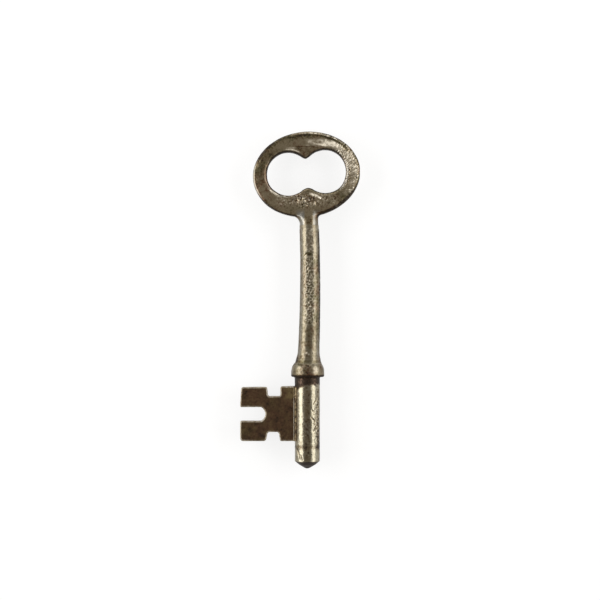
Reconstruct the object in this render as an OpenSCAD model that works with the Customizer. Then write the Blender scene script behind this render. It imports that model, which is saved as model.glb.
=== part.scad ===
// Bit key with a solid round pin, lying flat.
// The pin's axis is Y. The bow points along +Y, the bit along -X and the front face along +Z.
// The origin is on the pin's axis, where the straight pin ends and its pointed nose starts.

/* [Pin] */
// Diameter of the pin's bare end, below the bit
pin_d = 6; // [5.6:0.1:6.6]
// Diameter that the pin gains from its bare end up to the collar
pin_swell = 0.1; // [0.04:0.02:0.2]
// Length of the pin from the nose to the collar
pin_len = 20; // [19.2:0.4:24]
// Angle of the pointed nose, flank to flank
nose_angle = 108; // [96:2:120]
// Radius of the nose's blunt tip
nose_round = 1.5; // [0.8:0.1:1.8]
// Diameter of the tang that holds the stem
tang_d = 2.4; // [2:0.1:2.8]
// Length of the tang above the pin
tang_len = 7; // [5:0.5:10]

/* [Bit] */
// Bare length of pin between the nose and the bit
bit_start = 4.8; // [3.6:0.2:5.4]
// Height of the bit along the pin
bit_h = 13; // [12:0.2:13.4]
// Reach of the bit from the pin's wall
bit_reach = 12.9; // [11.5:0.1:14.5]
// Thickness of the bit
bit_t = 2.4; // [2:0.1:3]
// Height of the arm below the mouth
lower_arm_h = 4.75; // [4.25:0.25:5.25]
// Height of the mouth in the bit's free edge
mouth_h = 3.3; // [2.6:0.1:3.8]
// Depth of the mouth
mouth_depth = 6; // [4.6:0.1:6.6]
// How far the mouth's end bulges
mouth_bulge = 0.95; // [0.3:0.05:1.2]
// Width of the block beside the pin
root_w = 3.5; // [2.6:0.1:4]
// Width of the two ward notches
notch_w = 3; // [2.2:0.1:3.4]
// Depth of the two ward notches
notch_depth = 2.35; // [1.6:0.05:2.8]
// Radius of the bit's inner corners
notch_round = 0.4; // [0.1:0.05:0.5]
// Radius of the bit's outer corners
bit_round = 0.4; // [0.1:0.05:0.5]
// Thickness of the tongue in the pin's slot
tongue_t = 1.2; // [0.8:0.1:1.6]
// Depth of the tongue in the pin
tongue_depth = 1.2; // [0.8:0.1:1.5]
// Distance from the bit's ends to the tongue's ends
tongue_inset = 1; // [0.6:0.1:2]

/* [Collar] */
// Diameter of the collar at its lower edge
collar_d = 7.9; // [7.6:0.1:9]
// Sideways place of the collar, which sits a little off the pin's axis
collar_shift = 0.1; // [-0.2:0.02:0.2]
// Length of the collar along the key
collar_len = 3.4; // [2.8:0.1:4.2]
// Diameter of the collar at its top
collar_top_d = 6.4; // [6.1:0.1:7]
// Height of the sloping band at the collar's top
collar_slope_h = 1.5; // [0.8:0.1:2]
// Rounding of the collar's lower edge
collar_round = 0.2; // [0.1:0.05:0.4]
// Amount that the collar's wall narrows on its way up
collar_draft = 0.1; // [0:0.02:0.16]
// Depth of the recess under the collar that takes the pin's end and the filler
recess_h = 0.15; // [0.1:0.05:0.4]

/* [Stem] */
// Length of the stem between the collar and the neck's seam
stem_len = 32; // [27:0.5:45]
// Diameter of the stem at its lower end, without the flare
stem_low_d = 5.2; // [4.8:0.1:5.6]
// Diameter of the stem at its upper end
stem_top_d = 4.6; // [4.2:0.1:5]
// Width that the flare adds all round at the collar
flare_w = 0.55; // [0.3:0.05:0.7]
// Length of the flare
flare_len = 3; // [2:0.2:5]
// Sideways bow of the stem at mid length
stem_bend = 0.8; // [0:0.02:1.2]
// Diameter of the seat inside the collar
seat_d = 4.4; // [4:0.1:4.8]
// Diameter of the spigot in the neck
spigot_d = 2; // [1.6:0.1:2.2]
// Length of the spigot above the stem
spigot_len = 3.5; // [2.5:0.1:4]

/* [Bow] */
// Width of the bow's oval
bow_w = 25.45; // [24.5:0.05:29]
// Height of the bow's oval
bow_h = 20.25; // [19.5:0.05:23]
// Lean of the oval, with its right side up
bow_lean = 6.4; // [0:0.2:9]
// Sideways place of the bow's centre
bow_shift = -0.22; // [-0.6:0.02:0.6]
// Thickness of the bow at its crown
bow_t = 3.2; // [2.9:0.1:3.8]
// Thickness of the bow at its outer edge
bow_edge_t = 1.5; // [1:0.1:2]
// Thickness of the bow at the wall of the eye
eye_edge_t = 1.9; // [1.4:0.1:2.2]
// Width of the bevel along the outer edge
bow_bevel = 0.8; // [0.5:0.05:1.1]
// Width of the bevel along the eye
eye_bevel = 0.5; // [0.3:0.05:0.8]
// Depth of the faces below their crown where the bevels start
crown_drop = 0.12; // [0.04:0.02:0.2]
// Length of the neck below the oval
neck_len = 2.3; // [2:0.1:3.2]
// Fillet between the neck and the oval on the left
neck_fillet_left = 2; // [0.8:0.1:2.2]
// Fillet between the neck and the oval on the right
neck_fillet_right = 1.2; // [0.8:0.1:2.2]
// Length over which the neck sinks into the bow's faces
neck_run = 6.4; // [5.6:0.1:7]

/* [Eye] */
// Radius of the eye's two lobes
lobe_r = 5; // [4.85:0.05:5.2]
// Distance of each lobe's centre from the eye's centre
lobe_offset = 4.4; // [4.2:0.05:4.7]
// Height of the upper cusp's tip over the eye's centre
upper_cusp = 3.4; // [3.1:0.05:3.7]
// Depth of the lower cusp's tip under the eye's centre
lower_cusp = 3.55; // [3.1:0.05:3.7]
// Lean of the eye, with its right lobe up
eye_lean = 4.2; // [0:0.2:8]
// Height of the eye's centre over the oval's centre
eye_rise = 0.37; // [0:0.01:0.6]

/* [Joints] */
// Gap all round between pieces that fit in each other
fit_gap = 0.05; // [0.02:0.01:0.1]
// Thickness of the filler between stem and neck
neck_seam = 0.2; // [0.1:0.05:0.4]
// Radius of the filler's hollow face beside the bit
root_fillet = 0.85; // [0.6:0.05:1.1]
// Width of the filler ring under the collar
ring_w = 0.25; // [0.15:0.05:0.4]
// Height of the filler ring under the collar
ring_h = 0.6; // [0.4:0.05:1]

/* [Hidden] */
$fn = 64;
// Counts for the shapes worked out point by point
arc_steps = 8;
shank_sides = 32;
flare_steps = 6;
shank_steps = 14;
neck_steps = 16;
bow_stations = 96;
// Sides of a full circle at the bit's rounded corners
corner_sides = 32;
// Sides of the pin's wall where a thin piece is cut against it
wall_sides = 240;
// Share of a neck fillet's radius up to which it is followed
fillet_share = 0.98;
// Depth of the neck's upper end below the bow's bevel line
neck_sink = 0.05;
// Share of its size at which the filler ring's face is drawn in
ring_hollow = 0.33;
// Length by which a cut runs on past the faces that it opens
past = 1;

pin_r = pin_d / 2;
pin_top_r = (pin_d + pin_swell) / 2;
nose_half = nose_angle / 2;
nose_len = pin_r / tan(nose_half) - nose_round * (1 / sin(nose_half) - 1);
bit_end = bit_start + bit_h;
mouth_y = bit_start + lower_arm_h;
mouth_r = (pow(mouth_h / 2, 2) + pow(mouth_bulge, 2)) / (2 * mouth_bulge);
collar_r = collar_d / 2;
pin_end = pin_len + recess_h;
stem_y = pin_len + collar_len;
stem_top_y = stem_y + stem_len;
neck_y = stem_top_y + neck_seam;
bow_y = neck_y + neck_len + bow_h / 2;
spigot_x = bend_x(stem_top_y);

// Position between two values at share t
function mix(a, b, t) = a + (b - a) * t;

// Smooth rise from 0 to 1
function ease(t) = t * t * (3 - 2 * t);

// Sideways place of the shank's middle at height y
function bend_x(y) =
    let (u = (y - pin_len) / (bow_y - pin_len)) bow_shift * u + 4 * stem_bend * u * (1 - u);

// Radius of the stem at height y
function stem_r(y) =
    let (d = y - stem_y)
    mix(stem_low_d, stem_top_d, d / stem_len) / 2 + flare_w * pow(max(0, 1 - d / flare_len), 2);

// Radius of the arc that rounds a cusp of the eye, so that it meets both lobes smoothly
function cusp_round(tip) = (pow(lobe_offset, 2) + pow(tip, 2) - pow(lobe_r, 2)) / (2 * (lobe_r - tip));

// Distance from the eye's centre to its wall in direction a
function eye_reach(a) =
    let (
        tip = sin(a) > 0 ? upper_cusp : lower_cusp,
        r = cusp_round(tip),
        mid = tip + r,
        across = abs(cos(a)),
        up = abs(sin(a)),
        on_cusp = across * mid * lobe_r < up * lobe_offset * r
    )
    on_cusp
        ? mid * up - sqrt(r * r - pow(mid * across, 2))
        : lobe_offset * across + sqrt(pow(lobe_r, 2) - pow(lobe_offset * up, 2));

// Distance from the oval's centre to its edge in direction a
function oval_reach(a) =
    bow_w * bow_h / 4 / sqrt(pow(bow_h / 2 * cos(a), 2) + pow(bow_w / 2 * sin(a), 2));

// Height of the oval's lower edge at sideways place x, both seen from the oval's centre
function oval_floor(x) =
    let (
        a = bow_w / 2,
        b = bow_h / 2,
        d = pow(a * cos(bow_lean), 2) + pow(b * sin(bow_lean), 2)
    )
    (x * sin(bow_lean) * cos(bow_lean) * (a * a - b * b) - a * b * sqrt(d - x * x)) / d;

// Reach at height y of the fillet of radius r between the neck and the oval, on side -1 or 1
function fillet_reach(r, y, side) =
    let (
        x = bend_x(neck_y) - bow_shift + side * (stem_top_d / 2 + r),
        start = bow_y + oval_floor(x) - r,
        d = min(max(y - start, 0), fillet_share * r)
    )
    r - sqrt(r * r - d * d);

// The bow's cross-section at a place where it is w wide: distance from the eye's wall, and height
function bow_section(w) =
    let (
        face = [
            [0, eye_edge_t / 2],
            [eye_bevel, bow_t / 2 - crown_drop],
            [w / 2, bow_t / 2],
            [w - bow_bevel, bow_t / 2 - crown_drop],
            [w, bow_edge_t / 2]
        ],
        last = len(face) - 1
    )
    concat([for (p = face) [p.x, -p.y]], [for (i = [last:-1:0]) face[i]]);

// Points of the bow's cross-section in direction a, seen from the oval's centre
function bow_station(a) =
    let (
        eye = [0, eye_rise] + eye_reach(a - eye_lean) * [cos(a), sin(a)],
        rim = oval_reach(a - bow_lean) * [cos(a), sin(a)],
        w = norm(rim - eye),
        out = (rim - eye) / w
    )
    [for (p = bow_section(w)) [eye.x + out.x * p.x, eye.y + out.y * p.x, p.y]];

// Two triangles for each field between neighbouring sections of a tube
function skin(sections, sides, closed) =
    [
        for (i = [0:sections - (closed ? 1 : 2)], j = [0:sides - 1])
            let (
                near = i * sides,
                far = (i + 1) % sections * sides,
                k = (j + 1) % sides
            )
            for (t = [[near + j, far + k, far + j], [near + j, near + k, far + k]]) t
    ];

// Flat ends of a tube
function ends(sections, sides) =
    [
        [for (j = [sides - 1:-1:0]) j],
        [for (j = [0:sides - 1]) (sections - 1) * sides + j]
    ];

// A section of the shank at height y, wider on the left or the right where asked
function shank_section(y, x, left, right, thick) =
    [
        for (j = [0:shank_sides - 1])
            let (a = 360 * j / shank_sides)
            [x + (cos(a) < 0 ? left : right) * cos(a), y, thick * sin(a)]
    ];

// Radius and height of the nose's points, from the tip to the shoulder
function nose_points() =
    [
        for (i = [0:arc_steps])
            let (a = (90 - nose_half) * i / arc_steps)
            [nose_round * sin(a), nose_round * (1 - cos(a)) - nose_len]
    ];

// Turns a shape that stands along Z to stand along the key
module along_key() {
    rotate([-90, 0, 0]) children();
}

// A tube through sections of the shank
module shank(sections) {
    polyhedron(
        points = [for (s = sections) each s],
        faces = concat(skin(len(sections), shank_sides, false), ends(len(sections), shank_sides))
    );
}

// The pin's straight wall, grown by a gap, for cutting what fits against it
module pin_wall(gap) {
    along_key()
        rotate_extrude($fn = wall_sides)
            polygon([
                [0, 0],
                [pin_r + gap, 0],
                [pin_r + gap, bit_start],
                [pin_top_r + gap, pin_len],
                [0, pin_len]
            ]);
}

// The bit's tongue, or with a gap the slot that takes it
module tongue(gap, outer) {
    translate([-outer, bit_start + tongue_inset - gap, -tongue_t / 2 - gap])
        cube([outer - pin_r + tongue_depth + gap, bit_h - 2 * tongue_inset + 2 * gap, tongue_t + 2 * gap]);
}

// The mouth's outline, from the bit's free edge at the mouth's lower side
module mouth_outline() {
    intersection() {
        translate([-past, 0])
            square([mouth_depth + past, mouth_h]);
        union() {
            translate([-past, 0])
                square([mouth_depth - mouth_bulge + past, mouth_h]);
            translate([mouth_depth - mouth_r, mouth_h / 2])
                circle(r = mouth_r);
        }
    }
}

// The bit's outline, running on under the pin's wall
module bit_outline() {
    free_x = -pin_r - bit_reach;
    offset(r = bit_round, $fn = corner_sides)
        offset(r = -bit_round - notch_round, $fn = corner_sides)
            offset(delta = notch_round)
                difference() {
                    translate([free_x, bit_start])
                        square([-free_x, bit_h]);
                    translate([free_x, mouth_y])
                        mouth_outline();
                    for (y = [bit_start - past, bit_end - notch_depth])
                        translate([-pin_r - root_w - notch_w, y])
                            square([notch_w, notch_depth + past]);
                }
}

module bow() {
    neck = [
        for (i = [0:neck_steps])
            let (
                y = neck_y + neck_run * i / neck_steps,
                r = stem_top_d / 2,
                left = r + fillet_reach(neck_fillet_left, y, -1),
                right = r + fillet_reach(neck_fillet_right, y, 1),
                thick = mix(r, bow_t / 2 - crown_drop - neck_sink, ease(i / neck_steps))
            )
            shank_section(y, bend_x(y), left, right, thick)
    ];
    oval = [for (i = [0:bow_stations - 1]) bow_station(360 * i / bow_stations)];
    color([0.47, 0.41, 0.31])
        difference() {
            union() {
                translate([bow_shift, bow_y, 0])
                    polyhedron(
                        points = [for (s = oval) each s],
                        faces = skin(bow_stations, len(oval[0]), true)
                    );
                shank(neck);
            }
            translate([spigot_x, neck_y - past, 0])
                along_key()
                    cylinder(r = spigot_d / 2 + fit_gap, h = past + spigot_len - neck_seam + fit_gap);
        }
}

module stem() {
    levels = concat(
        [for (i = [0:flare_steps]) stem_y + flare_len * i / flare_steps],
        [for (i = [1:shank_steps]) mix(stem_y + flare_len, stem_top_y, i / shank_steps)]
    );
    color([0.55, 0.5, 0.42])
        difference() {
            union() {
                shank([for (y = levels) shank_section(y, bend_x(y), stem_r(y), stem_r(y), stem_r(y))]);
                translate([collar_shift, pin_end, 0])
                    along_key()
                        cylinder(d = seat_d, h = stem_y - pin_end + past);
                translate([spigot_x, stem_top_y - past, 0])
                    along_key()
                        cylinder(d = spigot_d, h = past + spigot_len);
            }
            translate([0, pin_end - past, 0])
                along_key()
                    cylinder(r = tang_d / 2 + fit_gap, h = past + tang_len + fit_gap);
        }
}

module collar() {
    bore_r = seat_d / 2 + fit_gap;
    slope_y = stem_y - collar_slope_h;
    color([0.53, 0.47, 0.37])
        difference() {
            translate([collar_shift, 0, 0])
                along_key()
                    rotate_extrude()
                        polygon([
                            [bore_r, pin_len],
                            [collar_r - collar_round, pin_len],
                            [collar_r, pin_len + collar_round],
                            [collar_r - collar_draft, slope_y],
                            [collar_top_d / 2, stem_y],
                            [bore_r, stem_y]
                        ]);
            translate([0, pin_len - past, 0])
                along_key()
                    cylinder(r = pin_top_r + ring_w + fit_gap, h = past + recess_h);
        }
}

module pin() {
    color([0.56, 0.5, 0.4])
        difference() {
            along_key()
                rotate_extrude()
                    polygon(concat(
                        nose_points(),
                        [
                            [pin_r, 0],
                            [pin_r, bit_start],
                            [pin_top_r, pin_len],
                            [pin_top_r, pin_end],
                            [tang_d / 2, pin_end],
                            [tang_d / 2, pin_end + tang_len],
                            [0, pin_end + tang_len]
                        ]
                    ));
            tongue(fit_gap, pin_top_r + past);
        }
}

module bit() {
    color([0.27, 0.2, 0.13])
        union() {
            difference() {
                linear_extrude(bit_t, center = true)
                    bit_outline();
                pin_wall(fit_gap);
            }
            tongue(0, pin_r + root_w / 2);
        }
}

module neck_braze() {
    color([0.5, 0.42, 0.26])
        translate([spigot_x, stem_top_y, 0])
            along_key()
                difference() {
                    cylinder(d = stem_top_d, h = neck_seam);
                    translate([0, 0, -past])
                        cylinder(r = spigot_d / 2 + fit_gap, h = neck_seam + 2 * past);
                }
}

module collar_braze() {
    wall_r = mix(pin_top_r, pin_r, ring_h / (pin_len - bit_start));
    color([0.33, 0.24, 0.14])
        along_key()
            rotate_extrude()
                polygon([
                    [wall_r, pin_len - ring_h],
                    [pin_top_r + ring_w * ring_hollow, pin_len - ring_h * ring_hollow],
                    [pin_top_r + ring_w, pin_len],
                    [pin_top_r + ring_w, pin_end],
                    [pin_top_r, pin_end]
                ]);
}

module bit_braze() {
    face_z = bit_t / 2;
    centre_z = face_z + root_fillet;
    centre = [-sqrt(pow(pin_r + root_fillet, 2) - pow(centre_z, 2)), centre_z];
    inner_x = -pin_r / 2;
    turn = atan2(-centre.x, centre.y);
    hollow = [
        for (i = [0:arc_steps])
            let (a = turn * i / arc_steps)
            centre + root_fillet * [sin(a), -cos(a)]
    ];
    color([0.55, 0.44, 0.22])
        for (side = [0, 1])
            mirror([0, 0, side])
                difference() {
                    translate([0, bit_end, 0])
                        rotate([90, 0, 0])
                            linear_extrude(bit_h)
                                polygon(concat(hollow, [[inner_x, hollow[arc_steps].y], [inner_x, face_z]]));
                    pin_wall(0);
                }
}

bow();
stem();
collar();
pin();
bit();
neck_braze();
collar_braze();
bit_braze();
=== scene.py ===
"""Looks of an old bit key: worn metal, brown patina and dull filler metal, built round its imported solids."""

import logging
import math
import random
from abc import ABC, abstractmethod
from collections.abc import Sequence
from dataclasses import dataclass, field
from enum import Enum
from typing import Any

import bmesh
import bpy
import numpy as np
from mathutils import Matrix, Vector, noise
from mathutils.kdtree import KDTree


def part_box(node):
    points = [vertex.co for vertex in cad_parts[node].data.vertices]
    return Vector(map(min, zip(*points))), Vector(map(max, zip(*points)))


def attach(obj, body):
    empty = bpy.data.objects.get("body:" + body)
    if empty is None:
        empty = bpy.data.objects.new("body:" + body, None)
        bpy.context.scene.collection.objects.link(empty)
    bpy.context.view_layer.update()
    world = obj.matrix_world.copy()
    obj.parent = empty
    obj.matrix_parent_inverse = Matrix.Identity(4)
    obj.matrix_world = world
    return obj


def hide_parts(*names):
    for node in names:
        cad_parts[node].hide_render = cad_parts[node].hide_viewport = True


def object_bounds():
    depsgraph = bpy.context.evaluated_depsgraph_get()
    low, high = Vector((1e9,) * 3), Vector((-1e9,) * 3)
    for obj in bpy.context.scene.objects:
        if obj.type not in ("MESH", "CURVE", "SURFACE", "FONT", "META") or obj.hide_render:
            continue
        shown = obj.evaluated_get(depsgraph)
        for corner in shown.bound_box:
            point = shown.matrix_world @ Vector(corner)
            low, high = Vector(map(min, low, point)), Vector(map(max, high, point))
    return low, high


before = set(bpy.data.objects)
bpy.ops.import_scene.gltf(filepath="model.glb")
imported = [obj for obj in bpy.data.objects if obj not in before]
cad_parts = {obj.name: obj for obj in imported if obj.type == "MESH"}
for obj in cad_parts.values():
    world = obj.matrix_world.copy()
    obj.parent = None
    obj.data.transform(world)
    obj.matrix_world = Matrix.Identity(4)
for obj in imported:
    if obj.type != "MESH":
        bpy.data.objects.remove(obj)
SOLIDS_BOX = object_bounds()

MM = 0.001
TINY = 1e-4
NOISE_SHIFT = np.array((17.3, 5.1, 9.7))
DIMPLE_SHIFT = np.array((3.1, 11.7, 6.3))
Colour = tuple[float, float, float]
# A place seen from the front, or any other pair of numbers.
Spot = tuple[float, float]
# A stretch of the ring in degrees: its start, how far it takes to rise, its end, how far it takes to fall.
Arc = tuple[float, float, float, float]
# A soft oval: its strength, middle, half width and half height, softness and lean in degrees.
Patch = tuple[float, Spot, Spot, float, float]
# A groove or fold: its two ends, width and depth.
Groove = tuple[Spot, Spot, float, float]

log = logging.getLogger("key")


class Slot(Enum):
    """Material slots of the record, which each piece carries beside its finish."""

    BOW = "bow_metal"
    SHANK = "shank_metal"
    BIT = "bit_metal"
    FILLER = "filler_metal"


@dataclass(frozen=True)
class KeyPlan:
    """Sizes in millimetres that several pieces share, as the solids have them."""

    pin_r: float = 3.0
    pin_top_r: float = 3.05
    pin_len: float = 20.0
    pin_end: float = 20.15
    bit_start: float = 4.8
    bit_h: float = 13.0
    bit_t: float = 2.4
    collar_len: float = 3.4
    collar_shift: float = 0.1
    stem_len: float = 32.0
    stem_low_d: float = 5.2
    stem_top_d: float = 4.6
    flare_w: float = 0.55
    flare_len: float = 3.0
    stem_bend: float = 0.8
    neck_seam: float = 0.2
    neck_len: float = 2.3
    bow_h: float = 20.25
    bow_shift: float = -0.22

    @property
    def stem_y(self) -> float:
        """Height at which the stem leaves the collar."""
        return self.pin_len + self.collar_len

    @property
    def stem_top_y(self) -> float:
        """Height of the stem's upper end."""
        return self.stem_y + self.stem_len

    @property
    def neck_y(self) -> float:
        """Height at which the bow's neck starts."""
        return self.stem_top_y + self.neck_seam

    @property
    def bow_y(self) -> float:
        """Height of the oval's centre."""
        return self.neck_y + self.neck_len + self.bow_h / 2

    def bend_x(self, y: np.ndarray | float) -> np.ndarray | float:
        """Sideways place of the shank's middle at a height."""
        share = (y - self.pin_len) / (self.bow_y - self.pin_len)
        return self.bow_shift * share + 4 * self.stem_bend * share * (1 - share)

    def stem_r(self, y: np.ndarray | float) -> np.ndarray | float:
        """Radius of the stem, which flares above the collar.

        Args:
            y: the height.

        Returns:
            The radius.
        """
        rise = y - self.stem_y
        taper = self.stem_low_d + (self.stem_top_d - self.stem_low_d) * rise / self.stem_len
        return taper / 2 + self.flare_w * np.maximum(0.0, 1 - rise / self.flare_len) ** 2


PLAN = KeyPlan()


def ease(value: np.ndarray | float) -> np.ndarray | float:
    """Smooth rise from 0 to 1, held at both ends."""
    held = np.clip(value, 0, 1)
    return held * held * (3 - 2 * held)


def bell(value: np.ndarray, middle: float, wide: np.ndarray | float) -> np.ndarray:
    """Soft mask that is 1 at a middle value and fades to both sides of it."""
    return np.exp(-(((value - middle) / wide) ** 2))


def span(value: np.ndarray, low: float, rise: float, high: float, fall: float) -> np.ndarray:
    """Soft mask that rises from a low limit on and has fallen to 0 at a high one."""
    return ease((value - low) / rise) * ease((high - value) / fall)


class Skin:
    """A closed mesh in millimetres, held as arrays so that it can be smoothed, pressed and painted."""

    def __init__(self, mesh: bpy.types.Mesh, seed: int) -> None:
        """Reads a mesh.

        Args:
            mesh: the mesh, in millimetres.
            seed: number that all its random marks start from.
        """
        self.mesh = mesh
        self.seed = seed
        self.dice = random.Random(seed)
        self.count = len(mesh.vertices)
        points = np.empty(self.count * 3, np.float32)
        mesh.vertices.foreach_get("co", points)
        self.points = points.reshape(-1, 3).astype(float)
        edges = np.empty(len(mesh.edges) * 2, np.int32)
        mesh.edges.foreach_get("vertices", edges)
        self.starts, self.stops = edges.reshape(-1, 2).T
        self.links = np.maximum(np.bincount(edges, minlength=self.count), 1)
        self.pressed = np.zeros(self.count)
        self.read_normals()

    def read_normals(self) -> None:
        """Writes the moved points to the mesh and reads its normals again."""
        self.mesh.vertices.foreach_set("co", self.points.astype(np.float32).ravel())
        self.mesh.update()
        normals = np.empty(self.count * 3, np.float32)
        self.mesh.vertex_normals.foreach_get("vector", normals)
        self.normals = normals.reshape(-1, 3).astype(float)

    @property
    def x(self) -> np.ndarray:
        """Sideways place of each point, to the right."""
        return self.points[:, 0]

    @property
    def y(self) -> np.ndarray:
        """Place of each point along the key, up to the bow."""
        return self.points[:, 1]

    @property
    def z(self) -> np.ndarray:
        """Height of each point towards the front."""
        return self.points[:, 2]

    @property
    def facing(self) -> np.ndarray:
        """How squarely each point faces the front or the back, from 0 to 1."""
        return np.abs(self.normals[:, 2])

    def near_mean(self, values: np.ndarray) -> np.ndarray:
        """Averages the neighbours' values at each point.

        Args:
            values: a number at each point.

        Returns:
            The means.
        """
        total = np.bincount(self.starts, values[self.stops], self.count)
        total += np.bincount(self.stops, values[self.starts], self.count)
        return total / self.links

    def spread(self, values: np.ndarray, passes: int) -> np.ndarray:
        """Values softened over the surface.

        Args:
            values: a number at each point.
            passes: how many times each is averaged with its neighbours.

        Returns:
            The softened numbers.
        """
        for _ in range(passes):
            values = (values + self.near_mean(values)) / 2
        return values

    def smooth(self, passes: int, share: np.ndarray | float = 1.0) -> None:
        """Draws the points towards their neighbours.

        Args:
            passes: how many times.
            share: how strongly, from 0 to 1, for all points or for each.
        """
        for _ in range(passes):
            mean = np.stack([self.near_mean(self.points[:, i]) for i in range(3)], axis=1)
            step = np.reshape(share, (-1, 1)) if isinstance(share, np.ndarray) else share
            self.points += (mean - self.points) * 0.5 * step
        self.read_normals()

    def ridges(self, passes: int) -> np.ndarray:
        """How far each point stands proud of its softened surroundings, in millimetres."""
        soft = np.stack([self.spread(self.points[:, i], passes) for i in range(3)], axis=1)
        return np.einsum("ij,ij->i", self.points - soft, self.normals)

    def proud(self) -> np.ndarray:
        """How far each point stands out of its near surroundings, softened a little."""
        return self.spread(self.ridges(6), 1)

    def hollow(self) -> np.ndarray:
        """How deep each point was pressed in, counted up to 0.2 mm."""
        return np.clip(self.pressed, 0, 0.2)

    def noise(self, size: float, seed: int, octaves: int = 1) -> np.ndarray:
        """Noise from about -1 to 1.

        Args:
            size: width of its features in millimetres.
            seed: number that picks the pattern.
            octaves: how many finer layers it has.

        Returns:
            The noise at each point.
        """
        places = (self.points / size + NOISE_SHIFT * (seed + self.seed)).tolist()
        if octaves == 1:
            return np.array([noise.noise(place) for place in places])
        return np.array([noise.fractal(place, 0.6, 2.1, octaves) for place in places])

    def dimples(self, size: float, seed: int) -> np.ndarray:
        """Pattern of small round hollows, 1 in their middles and 0 between them.

        Args:
            size: distance between the hollows in millimetres.
            seed: number that picks the pattern.

        Returns:
            The pattern at each point.
        """
        places = (self.points / size + DIMPLE_SHIFT * (seed + self.seed)).tolist()
        gap = np.array([noise.voronoi(place)[0][0] for place in places]) / 0.6
        return np.clip(1 - gap * gap, 0, None) ** 2

    def press(self, depth: np.ndarray) -> None:
        """Moves the points inwards by a depth in millimetres."""
        self.points -= self.normals * depth[:, None]
        self.pressed += depth

    def wobble(self, *layers: Spot, seed: int = 1) -> None:
        """Makes the surface uneven, inwards only.

        Args:
            layers: each layer's width and depth of the hollows, in millimetres.
            seed: number that picks the first layer's pattern.
        """
        for number, (size, depth) in enumerate(layers, seed):
            self.points -= self.normals * (depth * (self.noise(size, number) * 0.5 + 0.5))[:, None]

    def dent(self, centre: Sequence[float], radius: float, depth: float) -> None:
        """Presses one round hollow, or raises a bump where the depth is below 0.

        Args:
            centre: its middle on the surface.
            radius: its radius in millimetres.
            depth: its depth in millimetres.
        """
        gap = np.linalg.norm(self.points - np.array(centre), axis=1) / radius
        self.press(depth * np.clip(1 - gap * gap, 0, None) ** 2)

    def scratch(self, start: Spot, stop: Spot, width: float, depth: float) -> None:
        """Cuts a groove into the front, which tapers out at both ends.

        Args:
            start: one end, seen from the front.
            stop: the other end.
            width: its width in millimetres.
            depth: its depth in millimetres.
        """
        a, b = np.array(start), np.array(stop)
        plan = self.points[:, :2]
        along = np.clip((plan - a) @ (b - a) / ((b - a) @ (b - a)), 0, 1)
        gap = np.linalg.norm(plan - a - along[:, None] * (b - a), axis=1) / (width / 2)
        cut = np.clip(1 - gap * gap, 0, None) * np.sqrt(np.clip(4 * along * (1 - along), 0, 1))
        self.press(depth * cut * (self.z > 0))

    def pits(self, spots: Sequence[Sequence[float]], radius: Spot, depth: Spot) -> None:
        """Presses many small hollows of random size.

        Args:
            spots: their middles on the surface.
            radius: least and greatest radius.
            depth: least and greatest depth.
        """
        for spot in spots:
            self.dent(spot, self.dice.uniform(*radius), self.dice.uniform(*depth))

    def some_points(self, where: np.ndarray, amount: int) -> list[np.ndarray]:
        """Random points of the surface, among those where a mask is over a half."""
        choice = np.flatnonzero(where > 0.5)
        return [self.points[self.dice.choice(choice)].copy() for _ in range(amount)]

    def patch(self, centre: Spot, reach: Spot, soft: float = 0.5, turn: float = 0.0) -> np.ndarray:
        """Soft oval mask, seen from the front or the back.

        Args:
            centre: its middle.
            reach: half its width and half its height.
            soft: share of its reach over which it fades.
            turn: its lean in degrees.

        Returns:
            1 inside and 0 outside, at each point.
        """
        x, y = self.x - centre[0], self.y - centre[1]
        c, s = math.cos(math.radians(turn)), math.sin(math.radians(turn))
        gap = np.hypot((x * c + y * s) / reach[0], (y * c - x * s) / reach[1])
        return ease((1 + soft - gap) / (2 * soft))

    def patches(self, *marks: Patch) -> np.ndarray:
        """Sum of soft oval masks, each a strength, centre, reach, softness and lean."""
        return sum(strength * self.patch(*shape) for strength, *shape in marks)

    def band(self, low: float, high: float, soft: float) -> np.ndarray:
        """Soft mask of a stretch along the key, between two heights."""
        return ease((self.y - low) / soft + 0.5) * ease((high - self.y) / soft + 0.5)

    def paint(self, name: str, values: np.ndarray) -> None:
        """Stores a mask on the mesh for its material to read."""
        layer = self.mesh.attributes.new(name, "FLOAT", "POINT")
        layer.data.foreach_set("value", np.clip(values, 0, 1.5).astype(np.float32))

    def dress(
        self,
        patina_and_shade: np.ndarray,
        scuff_and_highlight: np.ndarray | float,
        warm: np.ndarray | float = 0.5,
        clean: np.ndarray | float = 0.0,
    ) -> None:
        """Paints the masks that the finishes read.

        Args:
            patina_and_shade: how brown the metal is, 0 worn, 0.75 brown and 1 grimy, with painted shade laid
                into it too.
            scuff_and_highlight: how far it is rubbed bright, with painted highlights laid into it too.
            warm: how reddish its brown is, from 0 to 1.
            clean: how smooth and grey it is rubbed, from 0 to 1.
        """
        for name, values in (("patina_and_shade", patina_and_shade), ("scuff_and_highlight", scuff_and_highlight), ("warm", warm), ("clean", clean)):
            self.paint(name, np.broadcast_to(values, self.count))

    def keep_inside(self, *nodes: str) -> None:
        """Holds the points inside the box of the solids that they stand for.

        Args:
            nodes: the solids' names.
        """
        boxes = [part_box(node) for node in nodes]
        low = np.min([np.array(box[0]) for box in boxes], axis=0)
        high = np.max([np.array(box[1]) for box in boxes], axis=0)
        self.points = np.clip(self.points, low / MM, high / MM)
        self.read_normals()


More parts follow.
